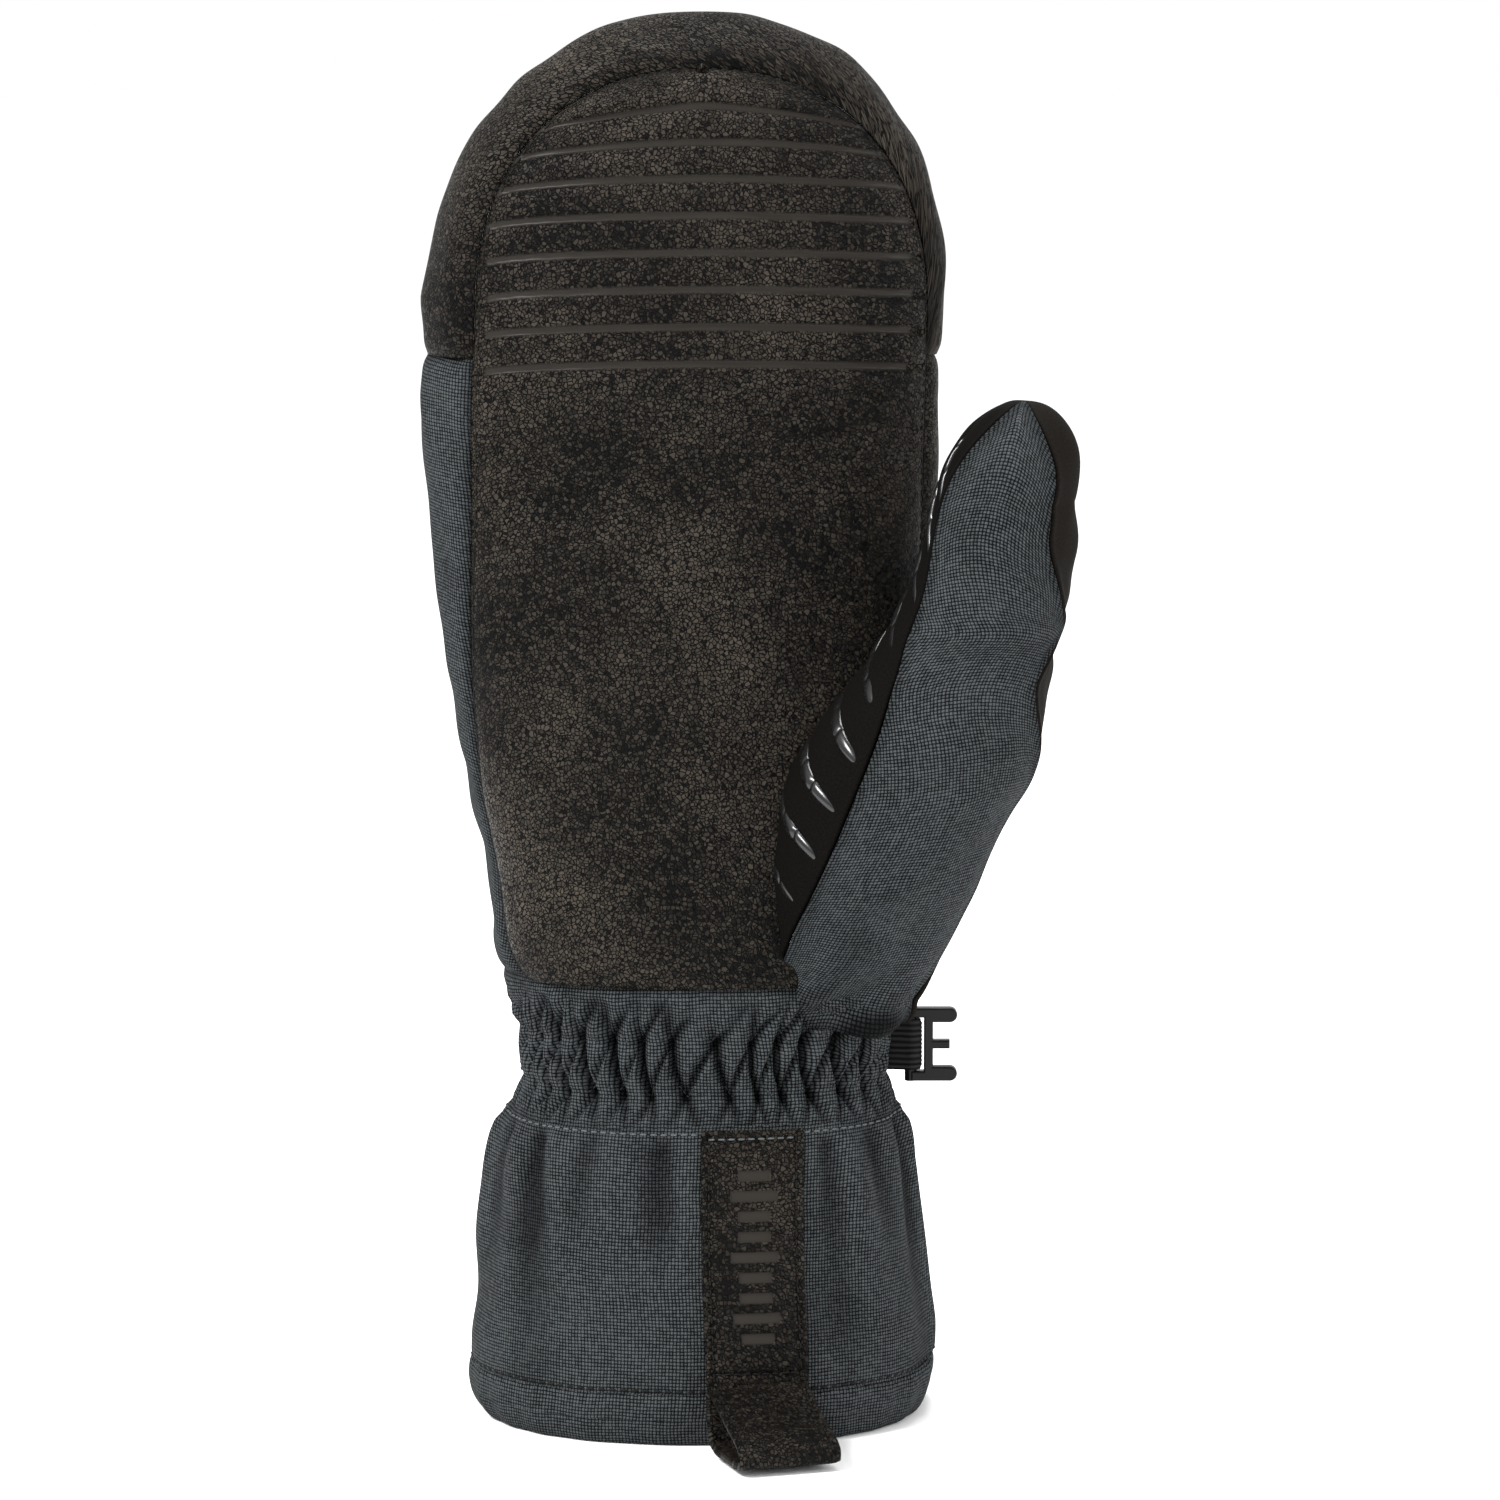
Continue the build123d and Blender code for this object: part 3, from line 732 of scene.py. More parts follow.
def thumb_section(height):
    """Centre, half width and half depth of the thumb at a height."""
    below = np.minimum(height, thumb_dome_foot)
    left = smooth_line(thumb_heights, thumb_left, below)
    right = smooth_line(thumb_heights, thumb_right, below)
    centre_y = smooth_line(thumb_deep_heights, thumb_centre_y, below)
    deep = smooth_line(thumb_deep_heights, thumb_half_depth, below)
    rise = unit((height - thumb_dome_foot) / (thumb_dome_top - thumb_dome_foot))
    close = np.sqrt(unit(1 - rise**2)) ** 0.85
    centre_x = (left + right) / 2 + 4.2 * rise
    return centre_x, centre_y - 0.8 * rise, (right - left) / 2 * close, deep * close


def thumb_place(foot, start, stop, inset=0.0):
    """Places on the thumb between two seams, each an angle by height: 0 at its outer side, 90 in front."""

    def place(u, v):
        straight, dome = thumb_dome_foot - foot, 24.0
        run = v * (straight + dome)
        turn = unit((run - straight) / dome) * pi / 2
        dome_height = thumb_dome_foot + (thumb_dome_top - thumb_dome_foot) * np.sin(turn) * 0.9999
        height = np.where(run < straight, foot + run, dome_height)
        centre_x, centre_y, width, deep = thumb_section(height)
        shrink = np.clip(1 - inset / np.maximum(width, inset + 0.1), 0.0, 1)
        angle = np.radians(start(height) + (stop(height) - start(height)) * u)
        x = centre_x + width * shrink * np.cos(angle)
        y = centre_y - deep * shrink * np.sin(angle)
        return np.stack([x, y, height - inset * np.sin(turn)], axis=-1)

    return place


front_seam_heights = (90, 96, 103, 110, 120, 131, 140, 150, 162, 171, 180, 190, 200, 214, 220)
front_seam_angles = (176, 166, 147, 137, 125, 117, 115, 117, 127, 135, 141, 148, 148, 128, 110)
outer_seam_heights = (90, 110, 140, 150, 158, 163, 168, 173, 178, 185, 192, 198, 206, 214, 220)
outer_seam_angles = (-10, -6, 0, 18, 34, 37, 24, 6, 26, 44, 54, 52, 52, 66, 82)


def front_seam(height):
    return smooth_line(front_seam_heights, front_seam_angles, height)


def outer_seam_angle(height):
    return smooth_line(outer_seam_heights, outer_seam_angles, height)


def back_seam_angle(height):
    return 235.0 + 0 * height


thumb_foot = 88.0
thumb_waves = roughness_of_cloth(41, 24, 45, 9)
thumb_creases = roughness_of_cloth(43, 20, 16, 7)


def thumb_relief(U, V, edges, grid):
    left, right, _, head = edges
    height = thumb_foot + V
    side = np.minimum(left, right)
    fade = unit(head / 10)
    proud = fade * seam_dip(side, 0.9, 1.4)
    calm = unit(side / 8) * fade
    proud += calm * (0.45 * thumb_waves(U, V) + 0.12 * thumb_creases(U, V) + 0.3)
    # Folds where the thumb is drawn down into the wrist.
    tucked = unit((94.0 - height) / 5.0)
    proud -= 2.2 * tucked**2 * (3 - 2 * tucked)
    drawn = unit((132 - height) / 34)
    proud += drawn**1.5 * np.sin(U / 3.1 + 0.06 * V + 0.8 * np.sin(V / 9))
    return proud


suede = fleece_finish("black_suede", *shades(0.0065, 0.0052, 0.0040), 0.55, 0.16, 0.85, 0.05, 0.0)
# Painted shade: the suede inside the thumb is the same suede made darker, for the shade between the thumb
# and the palm.
shaded_inner_suede = fleece_finish(
    "black_suede_shaded_inside_the_thumb",
    (0.0006, 0.0005, 0.0004),
    (0.0030, 0.0025, 0.0020),
    0.55,
    0.16,
    0.85,
    0.05,
    0.0,
)
for name, start, stop, columns, finish, slot_name, nodes in (
    (
        "thumb_front_cloth",
        outer_seam_angle,
        front_seam,
        90,
        slate_weave,
        "woven_shell",
        ("thumb_front_panel", "thumb_base_front_panel"),
    ),
    (
        "thumb_inner_suede",
        front_seam,
        back_seam_angle,
        70,
        shaded_inner_suede,
        "suede",
        ("thumb_inner_panel", "thumb_base_inner_panel"),
    ),
    (
        "thumb_back_suede",
        back_seam_angle,
        lambda h: 360.0 + outer_seam_angle(h),
        70,
        suede,
        "suede",
        ("thumb_back_panel", "thumb_base_back_panel"),
    ),
):
    panel = lay_panel(name, columns, 170, thumb_place(thumb_foot, start, stop), thumb_relief, 1.1)
    panel.data.materials.append(finish)
    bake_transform(panel)
    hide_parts(*nodes)

whole_turn = (lambda h: 0.0 * h, lambda h: 360.0 + 0 * h)
for name, inset, thickness, finish, slot_name, nodes in (
    ("thumb_film", 2.2, 0.25, film, "membrane", ("thumb_membrane", "thumb_base_membrane")),
    ("thumb_wadding", 2.7, 2.2, wadding, "insulation", ("thumb_insulation", "thumb_base_insulation")),
    ("thumb_fleece", 5.4, 1.0, lining_fleece, "lining", ("thumb_lining", "thumb_base_lining")),
):
    layer_place = thumb_place(104.0, *whole_turn, inset)
    layer_piece = lay_panel(name, 48, 60, layer_place, None, thickness, closed=True)
    layer_piece.data.materials.append(finish)
    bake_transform(layer_piece)
    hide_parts(*nodes)


# ---- Cuff ------------------------------------------------------------------------------------------
# Woven cloth hangs from the wrist seam to the hem over thin wadding. Soft drapes start at the gathers
# and fade towards the hem.
cuff_top, cuff_foot = 67.2, 10.2
pleat_turns = np.array(
    (
        0.055, 0.115, 0.17, 0.235, 0.30, 0.355, 0.415, 0.475, 0.545, 0.60, 0.655, 0.715, 0.785, 0.84,
        0.90, 0.955,
    )
)
pleat_depths = np.array(
    (0.9, 1.2, 0.7, 1.5, 1.0, 1.3, 0.8, 1.2, 1.0, 1.4, 0.8, 1.5, 0.9, 1.1, 1.3, 0.8)
)
pleat_lengths = np.array((24, 34, 20, 48, 26, 33, 18, 30, 24, 36, 22, 46, 25, 30, 36, 20))
cuff_waves = roughness_of_cloth(51, 22, 60, 14)


def cuff_relief(U, V, edges, grid):
    turn = grid[0]
    height = cuff_foot + V
    foot, head = edges[2], edges[3]
    proud = seam_dip(foot, 0.5, 1.4) + seam_dip(head, 0.8, 1.8)
    for where, depth, length in zip(pleat_turns, pleat_depths, pleat_lengths):
        fall = cuff_top - height
        lean = 0.004 * np.sin(40 * where) * fall / 20
        away = (turn - where - lean + 0.5) % 1 - 0.5
        wide = 0.0095 + 0.00034 * fall
        strength = 1.5 * depth * hump(fall, 1.25 * length, 1.6) * unit(fall / 4)
        proud += strength * (0.55 * hump(away - 2.1 * wide, wide) - hump(away, wide))
    closing = np.sin(pi * unit(turn)) ** 0.3
    proud += 0.45 * closing * cuff_waves(U, V) * unit(foot / 8) * unit(head / 8)
    # The cloth lies flat under the pull tab and swells beside it.
    place = ring_point(turn, height)
    from_tab = np.abs(place[..., 0] - 12.0) + 60 * (place[..., 1] > 0)
    proud = proud * (1 - 0.85 * hump(from_tab, 12.5, 8)) + 0.5 * hump(from_tab - 15.5, 3.0)
    # The side seams stand in small ridges with a groove, running from the gathers to the hem.
    for where in (0.255, 0.745):
        away = np.abs((turn - where + 0.5) % 1 - 0.5) * 290
        proud += -0.8 * hump(away, 1.1) + 0.5 * hump(away - 2.8, 1.6)
    return np.maximum(proud, -1.7)


cuff_cloth = lay_panel(
    "cuff_cloth",
    420,
    90,
    lambda u, v: ring_point(u, cuff_foot + (cuff_top - cuff_foot) * v),
    cuff_relief,
    1.0,
    closed=True,
)
cuff_cloth.data.materials.append(slate_weave)
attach(cuff_cloth, "cuff")
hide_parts("cuff_shell")


# ---- Cuff hem ----------------------------------------------------------------------------------------
# The cloth is turned under at the hem and stitched flat, which leaves a full, slightly uneven band
# with small puckers at the stitch line.
hem_top = 11.4


def hem_place(u, v):
    """Round the band's section: up the outside from the foot, over the top edge and down the inside."""
    angle = 2 * pi * v
    middle = (hem_top + 0.2) / 2
    deep = 1.9 * np.sign(np.cos(angle)) * np.abs(np.cos(angle)) ** 0.55
    height = middle + (hem_top - 0.2) / 2 * np.sign(np.sin(angle)) * np.abs(np.sin(angle)) ** 0.75
    outside = ring_point(u, height, 1.5 - deep)
    return outside


def hem_relief(U, V, edges, grid):
    turn, share = grid
    round_band = np.cos(2 * pi * share)
    puckers = np.sin(2 * pi * 116 * turn + 1.2 * np.sin(2 * pi * 5 * turn))
    near_stitch = hump(share - 0.17, 0.05)
    swell = 0.22 * np.sin(2 * pi * 21 * turn + 2 * np.sin(2 * pi * 3 * turn)) * unit(round_band)
    return 0.22 * puckers * near_stitch + swell + 0.45 * unit(round_band)


hem_band = lay_panel("hem_band", 640, 36, hem_place, hem_relief, 0, closed=True)
bpy.ops.object.mode_set(mode="EDIT")
bpy.ops.mesh.select_all(action="SELECT")
bpy.ops.mesh.remove_doubles(threshold=0.00004)
bpy.ops.mesh.normals_make_consistent(inside=False)
bpy.ops.object.mode_set(mode="OBJECT")
hem_band.data.materials.append(slate_weave)
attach(hem_band, "cuff")
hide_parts("cuff_hem")


# ---- Gathered wrist ----------------------------------------------------------------------------------
# The shell is drawn in by two rows of elastic sewn inside it. It pinches to a point at every stitch
# group, with folds fanning up to the palm and down to the cuff, and slanted ribs between the rows.
lower_row, upper_row = 73.0, 84.5
wrist_foot, wrist_head = 65.5, 97.2
gathers = 32


def gathered_place(u, v):
    height = wrist_foot + (wrist_head - wrist_foot) * v
    point = ring_point(u, height)
    # The thumb's base swells out of the front, on the thumb side, as the cloth climbs to it.
    grow = unit((height - 78) / 19)
    centre_x, centre_y = 28 + 6.2 * grow, -12 - 6.5 * grow
    wide, deep = 6 + 10.4 * grow, 5 + 9.4 * grow
    angle = np.arctan2(point[..., 1], point[..., 0])
    direction = np.stack([np.cos(angle), np.sin(angle)], axis=-1)
    reach = np.hypot(point[..., 0], point[..., 1])
    a = (direction[..., 0] / wide) ** 2 + (direction[..., 1] / deep) ** 2
    b = -2 * (direction[..., 0] * centre_x / wide**2 + direction[..., 1] * centre_y / deep**2)
    c = (centre_x / wide) ** 2 + (centre_y / deep) ** 2 - 1
    inside = b**2 - 4 * a * c
    far = np.where(inside > 0, (-b + np.sqrt(np.maximum(inside, 0))) / (2 * a), 0)
    softness = 3.0
    merged = softness * (np.logaddexp(far / softness, reach / softness) - 0.12)
    joined = np.where(far > 0, merged, reach)
    joined = np.maximum(joined, reach)
    # Its upper edge tucks in below the thumb's own cloth.
    tucked = unit((height - 92.0) / 4.0)
    joined -= 2.2 * tucked**2 * (3 - 2 * tucked) * unit((far - reach) / 3)
    return np.stack([joined * direction[..., 0], joined * direction[..., 1], height], axis=-1)


def gather_relief(U, V, edges, grid):
    # The folds are spaced evenly along the cloth itself.
    turn = edges[0] / (edges[0] + edges[1])
    height = wrist_foot + (wrist_head - wrist_foot) * grid[1]
    pitch = 7.0
    phase = gathers * turn + 0.16 * np.sin(2 * pi * 5 * turn + 0.7) + 0.12 * np.sin(2 * pi * 9 * turn)
    chance = np.sin(2 * pi * 3 * turn + 1.0) + 0.8 * np.sin(2 * pi * 7 * turn + 2.0)

    def crease(where, width, depth):
        """A valley of that width where the phase is whole, and how far it is away."""
        away = np.abs((phase - where + 0.5) % 1 - 0.5) * pitch
        return -depth * hump(away, width, 1.3), away

    # Between the rows the creases zigzag from each upper pinch to the two lower ones beside it.
    share = unit((height - lower_row) / (upper_row - lower_row))
    falling, away_falling = crease((1 - share) / 2, 1.05, 3.0 + 0.3 * chance)
    rising, away_rising = crease(-(1 - share) / 2, 0.85, 1.7 - 0.5 * chance)
    fullness = np.minimum(away_falling, away_rising + 0.5) / 1.7
    middle = np.minimum(falling, rising) + 1.9 * unit(fullness) ** 0.8 * (0.35 + 0.65 * np.sin(pi * share))
    # Above them two creases leave each pinch, widen and die out in the cloth below the palm.
    rise = np.maximum(height - upper_row, 0)
    reach = 6.5 + 2.2 * chance
    left, away_left = crease(0.30 * rise / pitch, 0.9 + 0.16 * rise, 2.3 * hump(rise, reach, 1.2))
    right, away_right = crease(-0.42 * rise / pitch, 0.9 + 0.12 * rise, 2.0 * hump(rise, reach + 1, 1.2))
    swell = 1.1 * hump(rise - 3.0, 5.0) * unit(np.minimum(away_left, away_right) / 2.2)
    ripple = 0.5 * np.sin(2 * pi * (0.5 * phase + 0.09 * rise)) * unit(rise / 4)
    upper = np.minimum(left, right) + swell + ripple
    # Below them the creases open the other way, towards the cuff.
    fall = np.maximum(lower_row - height, 0)
    left, away_left = crease(0.5 + 0.38 * fall / pitch, 0.85 + 0.10 * fall, 2.1 * hump(fall, 5.5, 1.3))
    right, away_right = crease(0.5 - 0.38 * fall / pitch, 0.85 + 0.10 * fall, 1.8 * hump(fall, 5.0, 1.3))
    swell = 0.9 * hump(fall - 2.6, 3.0) * unit(np.minimum(away_left, away_right) / 2.0)
    lower = np.minimum(left, right) + swell
    above = unit((height - upper_row) / 0.6 + 0.5)
    below = unit((lower_row - height) / 0.6 + 0.5)
    proud = above * upper + below * lower + (1 - above) * (1 - below) * middle
    for row, offset in ((upper_row, 0.0), (lower_row, 0.5)):
        dent, _ = crease(offset, 1.5, 1.0)
        proud += dent * hump(height - row, 1.1)
    # The folds stop where the cloth is sewn under the palm's lower edge.
    proud = proud * (1 - 0.9 * unit((height - 92.5) / 3.0)) - 0.9 * unit((height - 94.0) / 2.0)
    return proud + seam_dip(edges[2], 0.7, 1.0)


gathered_shell = lay_panel("gathered_wrist_cloth", 480, 96, gathered_place, gather_relief, 0.9, closed=True)
gathered_shell.data.materials.append(slate_weave)
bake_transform(gathered_shell)
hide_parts("wrist_shell")

elastic_finish = fleece_finish("black_elastic", *shades(0.02, 0.02, 0.02), 0.8, 0.15)
for name, row, node in (
    ("lower_elastic_band", lower_row, "lower_wrist_elastic"),
    ("upper_elastic_band", upper_row, "upper_wrist_elastic"),
):
    half_band = 2.6
    band = lay_panel(
        name,
        160,
        6,
        lambda u, v: ring_point(u, row + half_band * (2 * v - 1), 3.4),
        None,
        0.9,
        closed=True,
    )
    band.data.materials.append(elastic_finish)
    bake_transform(band)
    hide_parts(node)


# ---- Grip strokes on the thumb -----------------------------------------------------------------------
# Soft silicone is printed on the suede in curved strokes that taper at both ends, so that the thumb
# holds a rail or a rope. Each is a low rounded ridge standing on the thumb's surface.
silicone = Finish("black_silicone", 0.24, 0.3)
silicone.feed(silicone.shader, {"Base Color": (0.004, 0.004, 0.004, 1), "Coat Weight": 0.3})
silicone.feed(silicone.shader, {"Coat Roughness": 0.2})


def thumb_point(angle, height, proud):
    """A point on or above the thumb's surface, by angle round it and height."""
    centre_x, centre_y, width, deep = thumb_section(height)
    return np.stack(
        [
            centre_x + (width + proud) * np.cos(angle),
            centre_y - (deep + proud) * np.sin(angle),
            height + 0 * angle,
        ],
        axis=-1,
    )


strokes = []
for index in range(10):
    root = 102.0 + 10.4 * index

    def stroke_place(u, v, root=root, index=index):
        """u crosses the stroke and v runs along it, from near the front seam round to the back."""
        drop = 15.0 + 1.2 * index
        height = root + drop * 0.75 * v**0.8 - 5.0 * v * (1 - v) + 2.0
        near = front_seam(height) + 5.0
        angle = np.radians(near + (62 - 2.0 * index) * v)
        taper = np.sin(pi * unit(v * 0.96 + 0.02)) ** 0.45
        half = (1.35 - 0.04 * index) * taper
        across = u * 2 - 1
        broken = 1 - 0.45 * hump(v - 0.42, 0.03) - 0.4 * hump(v - 0.7, 0.025)
        rise = 0.85 * taper * broken * np.sqrt(unit(1 - across**2)) - 0.25
        return thumb_point(angle, height - across * half, rise + 0.35)

    stroke = lay_panel(f"grip_stroke_{index + 1:02d}", 8, 70, stroke_place, None, 0.5)
    strokes.append(stroke)
bpy.ops.object.select_all(action="DESELECT")
for stroke in strokes:
    stroke.select_set(True)
bpy.context.view_layer.objects.active = strokes[0]
bpy.ops.object.join()
grip_strokes = bpy.context.object
grip_strokes.name = "thumb_grip_printing"
grip_strokes.data.materials.append(silicone.material)
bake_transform(grip_strokes)
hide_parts("thumb_grip_strokes", "thumb_base_grip_strokes")


# ---- Pull tab ----------------------------------------------------------------------------------------
# A strap of the palm's leather is sewn down the front of the cuff. It has a plain ladder of bars
# pressed into it, for grip.
tab_left, tab_right, tab_foot, tab_head = 1.2, 23.0, 13.6, 66.6


def tab_place(u, v):
    height = tab_foot + (tab_head - tab_foot) * v
    x = tab_left + (tab_right - tab_left) * u + 0.25 * np.sin(height / 9) - 0.02 * (height - 40)
    y = -surface_depth(x, height) - 1.5
    # The cloth behind falls into a drape beside the tab, and the strap bridges it.
    return np.stack([x, y - 0.25 * np.sin(pi * v), height], axis=-1)


tab_creases = roughness_of_cloth(61, 18, 25, 6)


def pressed_bars(across, up):
    """Nine pressed bars up the tab, every third one longer: 1 on a bar and 0 off it."""
    share = np.zeros_like(across)
    for index in range(9):
        away = np.abs(up - (10.0 + 4.3 * index))
        beyond = np.abs(across - 0.4)
        reach_out = 5.3 if index % 3 == 1 else 3.7
        share = np.maximum(share, unit((1.3 - away) / 0.3) * unit((reach_out - beyond) / 0.3))
    return share


def tab_relief(U, V, edges, grid):
    left, right, foot, head = edges
    side = np.minimum(left, right)
    proud = 0.12 * tab_creases(U, V) * unit(side / 3)
    proud -= 0.45 * hump(side - 1.7, 0.55)
    proud -= 0.45 * hump(head - 1.9, 0.6) + 0.45 * hump(foot - 2.4, 0.6)
    proud -= 0.35 * hump(side, 0.5)
    return proud - 0.5 * pressed_bars(U, V)


pull_tab = lay_panel("pull_tab_leather", 112, 320, tab_place, tab_relief, 1.5)
# The light end of the tab's tones is partly a painted highlight.
tab_tones_and_painted_highlights = (0.0010, 0.0008, 0.0006), (0.0460, 0.0385, 0.0300)
tab_leather = leather_finish("tab_leather", *tab_tones_and_painted_highlights, 0.85, 0.55, 0.34)
barred_leather = leather_finish("tab_leather_with_bars", *tab_tones_and_painted_highlights, 0.85, 0.55, 0.34, pressed=True)
pull_tab.data.materials.append(barred_leather)
press(pull_tab, pressed_bars)
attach(pull_tab, "cuff")
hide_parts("pull_tab")


# ---- Pull loop ---------------------------------------------------------------------------------------
# The strap goes on below the tab as a flattened loop, to pull the mitten on by. It is the same leather,
# folded over and sewn down both sides, and it can lift on its fold.
loop_yaw = radians(18)
loop_forward = np.array((sin(loop_yaw), -cos(loop_yaw), 0.0))
loop_across = np.array((cos(loop_yaw), sin(loop_yaw), 0.0))
loop_root = np.array((12.0, -42.6, 0.0))
loop_path = np.array(
    (
        (2.0, 14.3),
        (5.0, 13.6),
        (9.0, 12.0),
        (14.0, 9.9),
        (19.0, 8.2),
        (22.6, 6.7),
        (25.0, 4.6),
        (24.9, 2.4),
        (22.6, 1.25),
        (18.0, 1.05),
        (12.0, 1.1),
        (6.5, 1.3),
        (3.4, 2.6),
        (1.9, 5.4),
        (1.2, 9.2),
        (1.0, 12.4),
        (2.0, 14.3),
    )
)
loop_run = np.concatenate([[0], np.cumsum(np.linalg.norm(np.diff(loop_path, axis=0), axis=1))])


def loop_place(u, v):
    along = v * loop_run[-1]
    forward = smooth_line(loop_run, loop_path[:, 0], along)
    height = smooth_line(loop_run, loop_path[:, 1], along)
    across = 11.0 * (1 - 2 * u)
    sway = 0.35 * np.sin(along / 7) * (2 * u - 1)
    place = loop_root + forward[..., None] * loop_forward + across[..., None] * loop_across
    place[..., 2] += np.maximum(height + sway * (height > 3), 0.6)
    return place


def loop_relief(U, V, edges, grid):
    side = np.minimum(edges[0], edges[1])
    return 0.10 * tab_creases(U, V) - 0.35 * hump(side, 0.6) - 0.25 * hump(side - 1.7, 0.5)


pull_loop = lay_panel("pull_loop_leather", 64, 300, loop_place, loop_relief, 1.3)
pull_loop.data.materials.append(tab_leather)
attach(pull_loop, "pull_loop")
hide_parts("pull_loop")


# ---- Glove clip and its webbing ----------------------------------------------------------------------
# The clip that holds the pair together is moulded in black acetal. It turns in a fold of ribbed nylon
# webbing that is sewn into the wrist's side.
clip_plastic = Finish("black_acetal", 0.26, 0.12)
clip_plastic.feed(clip_plastic.shader, {"Base Color": (0.006, 0.006, 0.0062, 1)})
clip_place = clip_plastic.add("TexCoord", "Object")
clip_plastic.bump(clip_plastic.add("TexNoise", "Fac", {"Vector": clip_place, "Scale": 1500}), 0.05, 0.2)

webbing = Finish("black_webbing", 0.8, 0.08)
web_ribs = {"Vector": webbing.add("TexCoord", "Object"), "Scale": 260, "Distortion": 1.2}
web_ribs = webbing.add("TexWave", "Color", web_ribs, bands_direction="Z").node.outputs
web_tint = webbing.tone(web_ribs["Color"], (0.001, 0.001, 0.001), (0.016, 0.016, 0.0165), 0.0, 1.0)
webbing.feed(webbing.shader, {"Base Color": web_tint})
webbing.bump(web_ribs["Fac"], 0.2, 0.8)

glove_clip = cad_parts["glove_clip"]
glove_clip.data.materials.clear()
glove_clip.data.materials.append(clip_plastic.material)

# The webbing comes out of the wrist's side, goes round the clip's bar and back in beside itself.
bar_x, fold_radius, web_foot, web_head = 45.8, 2.42, 73.6, 84.4
web_turns = np.radians(np.linspace(-112, 112, 13))
web_path = np.concatenate(
    [
        [(37.0, -1.35), (39.0, -1.45), (41.5, -1.75)],
        np.stack([bar_x + fold_radius * np.cos(web_turns), fold_radius * np.sin(web_turns)], axis=-1),
        [(41.5, 1.75), (39.0, 1.45), (37.0, 1.35)],
    ]
)
web_run = np.concatenate([[0], np.cumsum(np.linalg.norm(np.diff(web_path, axis=0), axis=1))])


def web_place(u, v):
    along = v * web_run[-1]
    x, y = smooth_line(web_run, web_path[:, 0], along), smooth_line(web_run, web_path[:, 1], along)
    return np.stack([x, y, web_head + (web_foot - web_head) * u], axis=-1)


def web_relief(U, V, edges, grid):
    side = np.minimum(edges[0], edges[1])
    return 0.06 * np.cos(2 * pi * U / 0.9) - 0.3 * hump(side, 0.5)


clip_web = lay_panel("clip_webbing_fold", 72, 90, web_place, web_relief, 0.95)
clip_web.data.materials.append(webbing.material)
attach(clip_web, "cuff")
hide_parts("clip_webbing")


# ---- Stitching ---------------------------------------------------------------------------------------
# Polyester thread shows as short raised stitches: grey at the cuff's seam and the tab's head, slate at the
# gathers and black elsewhere. A stitch is a small rounded capsule, and a seam is a row of copies of it
# laid along the finished piece.
thread_colours = {
    "grey_thread": (0.070, 0.078, 0.083),
    "slate_thread": (0.020, 0.022, 0.0235),
    "black_thread": (0.003, 0.0026, 0.0022),
}
threads = {
    name: fleece_finish(name, *shades(*colour), 1 / 3, 0.05, 0.6, 0.15, 0.0, through=True)
    for name, colour in thread_colours.items()
}

bpy.ops.object.select_all(action="DESELECT")
bpy.ops.mesh.primitive_uv_sphere_add(segments=6, ring_count=5, radius=1)
capsule = bpy.context.object
capsule_points = np.array([vertex.co[:] for vertex in capsule.data.vertices])
capsule_points[:, 2] = np.sign(capsule_points[:, 2]) * np.abs(capsule_points[:, 2]) ** 0.6
capsule_faces = [tuple(polygon.vertices) for polygon in capsule.data.polygons]
bpy.ops.object.delete()


def panel_line(panel, u_share, v_share):
    """Places and outward directions along a line drawn on a panel, by shares across and up it."""
    data = panels[panel]
    rows, columns = data["places"].shape[0] - 1, data["places"].shape[1] - 1
    u_share = unit(np.asarray(u_share, float)) * columns
    v_share = unit(np.asarray(v_share, float)) * rows
    column, row = np.minimum(u_share.astype(int), columns - 1), np.minimum(v_share.astype(int), rows - 1)
    across, up = (u_share - column)[:, None], (v_share - row)[:, None]
    found = []
    for key in ("places", "normals"):
        grid = data[key]
        low = grid[row, column] * (1 - across) + grid[row, column + 1] * across
        high = grid[row + 1, column] * (1 - across) + grid[row + 1, column + 1] * across
        found.append(low * (1 - up) + high * up)
    return found


def inset_line(panel, side, distance, start=0.0, stop=1.0, count=900):
    """A line at a distance from one edge of a panel: left, right, foot or head."""
    data = panels[panel]
    edges = dict(zip(("left", "right", "foot", "head"), data["edges"]))[side]
    sideways = side in ("left", "right")
    lanes = edges if sideways else edges.T
    if side in ("right", "head"):
        lanes = lanes[:, ::-1]
    steps = np.linspace(0, 1, lanes.shape[1])
    share = np.linspace(start, stop, count)
    inset = [np.interp(distance, lane, steps) for lane in lanes]
    inward = np.interp(share * (len(lanes) - 1), np.arange(len(lanes)), inset)
    if side in ("right", "head"):
        inward = 1 - inward
    return (inward, share) if sideways else (share, inward)


def along_line(at, run, values):
    return np.array([np.interp(at, run, values[:, axis]) for axis in range(3)])


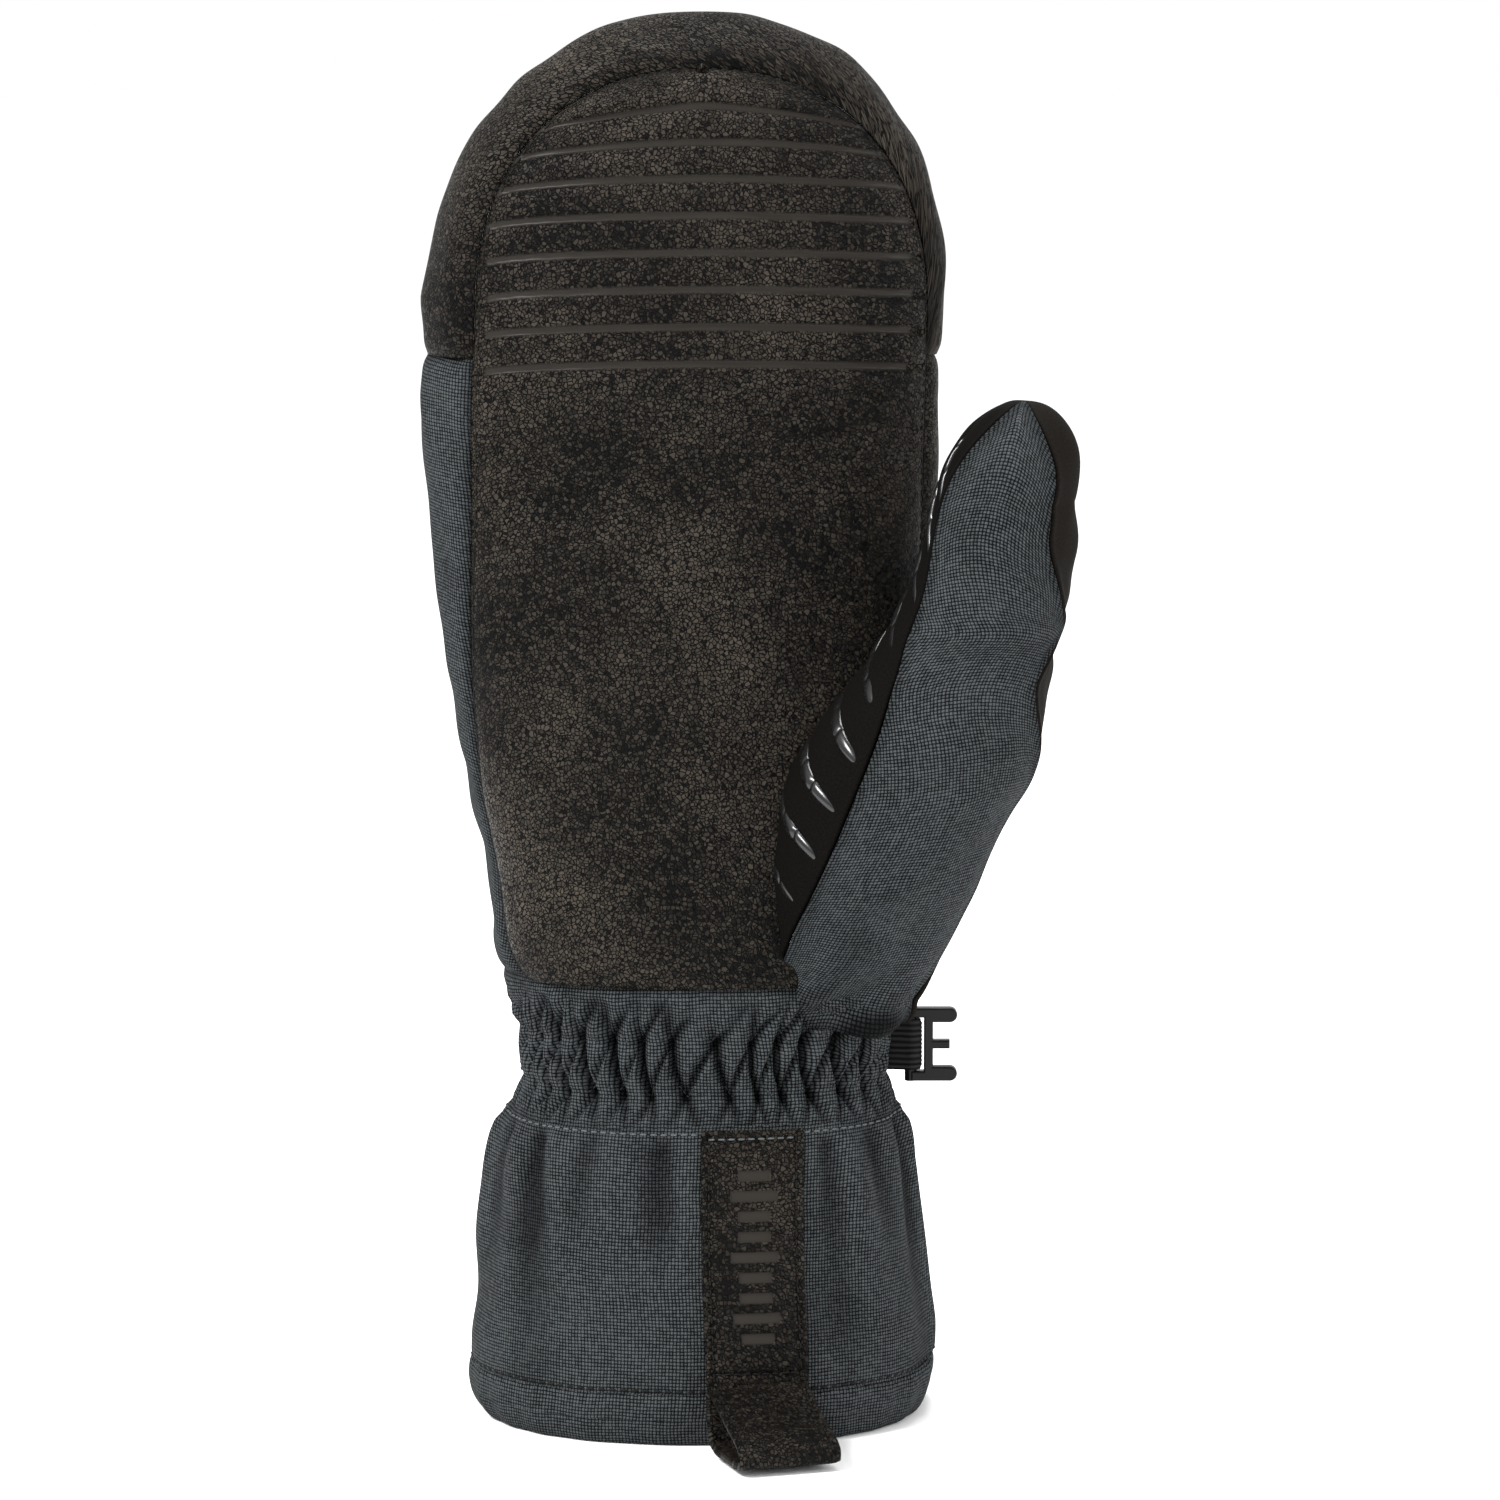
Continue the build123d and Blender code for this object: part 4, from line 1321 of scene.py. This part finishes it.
def sew(name, lines, finish, pitch=2.3, length=1.6, thick=0.24, lift=0.10):
    """Rows of stitches along lines of places and outward directions, as one piece."""
    points, faces = [], []
    for places, outward in lines:
        run = np.concatenate([[0], np.cumsum(np.linalg.norm(np.diff(places, axis=0), axis=1))])
        middles = np.arange(pitch / 2, run[-1], pitch)
        for at in middles:
            ends = [along_line(at + reach, run, places) for reach in (-length / 2, 0, length / 2)]
            out = along_line(at, run, outward)
            along = ends[2] - ends[0]
            size = np.linalg.norm(along)
            if size < 0.3 * length:
                continue
            along /= size
            out -= along * np.dot(out, along)
            out /= max(np.linalg.norm(out), 1e-6)
            cross = np.cross(along, out)
            shape = (
                capsule_points[:, :1] * thick * 1.15 * cross
                + capsule_points[:, 1:2] * thick * out
                + capsule_points[:, 2:] * size / 2 * along
            )
            start = len(points)
            points.extend((ends[1] + out * lift + shape) / 1000)
            faces.extend(tuple(start + corner for corner in face) for face in capsule_faces)
    mesh = bpy.data.meshes.new(name)
    mesh.from_pydata([tuple(map(float, point)) for point in points], [], faces)
    row = bpy.data.objects.new(name, mesh)
    bpy.context.collection.objects.link(row)
    bpy.ops.object.select_all(action="DESELECT")
    row.select_set(True)
    bpy.context.view_layer.objects.active = row
    bpy.ops.object.mode_set(mode="EDIT")
    bpy.ops.mesh.select_all(action="SELECT")
    bpy.ops.mesh.normals_make_consistent(inside=False)
    bpy.ops.object.mode_set(mode="OBJECT")
    bpy.ops.object.shade_smooth()
    row.data.materials.append(threads[finish])
    return row


def cuff_row(height):
    share = np.linspace(0, 1, 1600)
    return panel_line("cuff_cloth", share, 0 * share + (height - cuff_foot) / (cuff_top - cuff_foot))


def edge_row(panel, side, distance, *reach):
    return panel_line(panel, *inset_line(panel, side, distance, *reach))


cuff_stitches = sew("cuff_seam_stitches", [cuff_row(65.4)], "grey_thread", 2.2, 1.5, 0.22)
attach(cuff_stitches, "cuff")
hem_stitches = sew("hem_stitches", [cuff_row(12.0)], "black_thread", 2.4, 1.5, 0.24, 0.05)
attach(hem_stitches, "cuff")

tab_rows = [edge_row("pull_tab_leather", side, 1.7, 0.02, 0.97) for side in ("left", "right")]
tab_rows.append(edge_row("pull_tab_leather", "foot", 2.4, 0.08, 0.92))
tab_stitches = sew("tab_side_stitches", tab_rows, "black_thread", 2.0, 1.4, 0.22, 0.12)
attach(tab_stitches, "cuff")
tab_head_rows = [edge_row("pull_tab_leather", "head", 1.9, 0.06, 0.94)]
tab_head_stitches = sew("tab_head_stitches", tab_head_rows, "grey_thread", 2.1, 1.5, 0.22, 0.14)
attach(tab_head_stitches, "cuff")
loop_rows = [edge_row("pull_loop_leather", side, 1.7, 0.02, 0.98) for side in ("left", "right")]
loop_stitches = sew("loop_side_stitches", loop_rows, "black_thread", 2.0, 1.4, 0.2, 0.1)
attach(loop_stitches, "pull_loop")

palm_rows = [edge_row("palm_leather", side, 1.5, 0.0, 0.99, 2400) for side in ("left", "right")]
palm_stitches = sew("palm_edge_stitches", palm_rows, "black_thread", 2.3, 1.5, 0.2, 0.05)
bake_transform(palm_stitches)

thumb_rows = [edge_row("thumb_front_cloth", "left", distance, 0.30, 0.93) for distance in (1.5, 3.4)]
thumb_stitches = sew("thumb_seam_stitches", thumb_rows, "black_thread", 2.1, 1.5, 0.2, 0.05)
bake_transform(thumb_stitches)

# At each gather the elastic's stitches pull the cloth to a point, and a few show between the folds.
pinch_lines = []
for row, offset in ((upper_row, 0.0), (lower_row, 0.5)):
    share_up = (row - wrist_foot) / (wrist_head - wrist_foot)
    for index in range(gathers):
        middle = (index + offset + 0.15) / gathers
        span = np.linspace(-0.0065, 0.0065, 12)
        pinch_lines.append(
            panel_line("gathered_wrist_cloth", (middle + span) % 1, share_up + 12 * np.abs(span))
        )
gather_stitches = sew("gather_stitches", pinch_lines, "slate_thread", 1.5, 1.1, 0.17, 0.1)
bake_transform(gather_stitches)
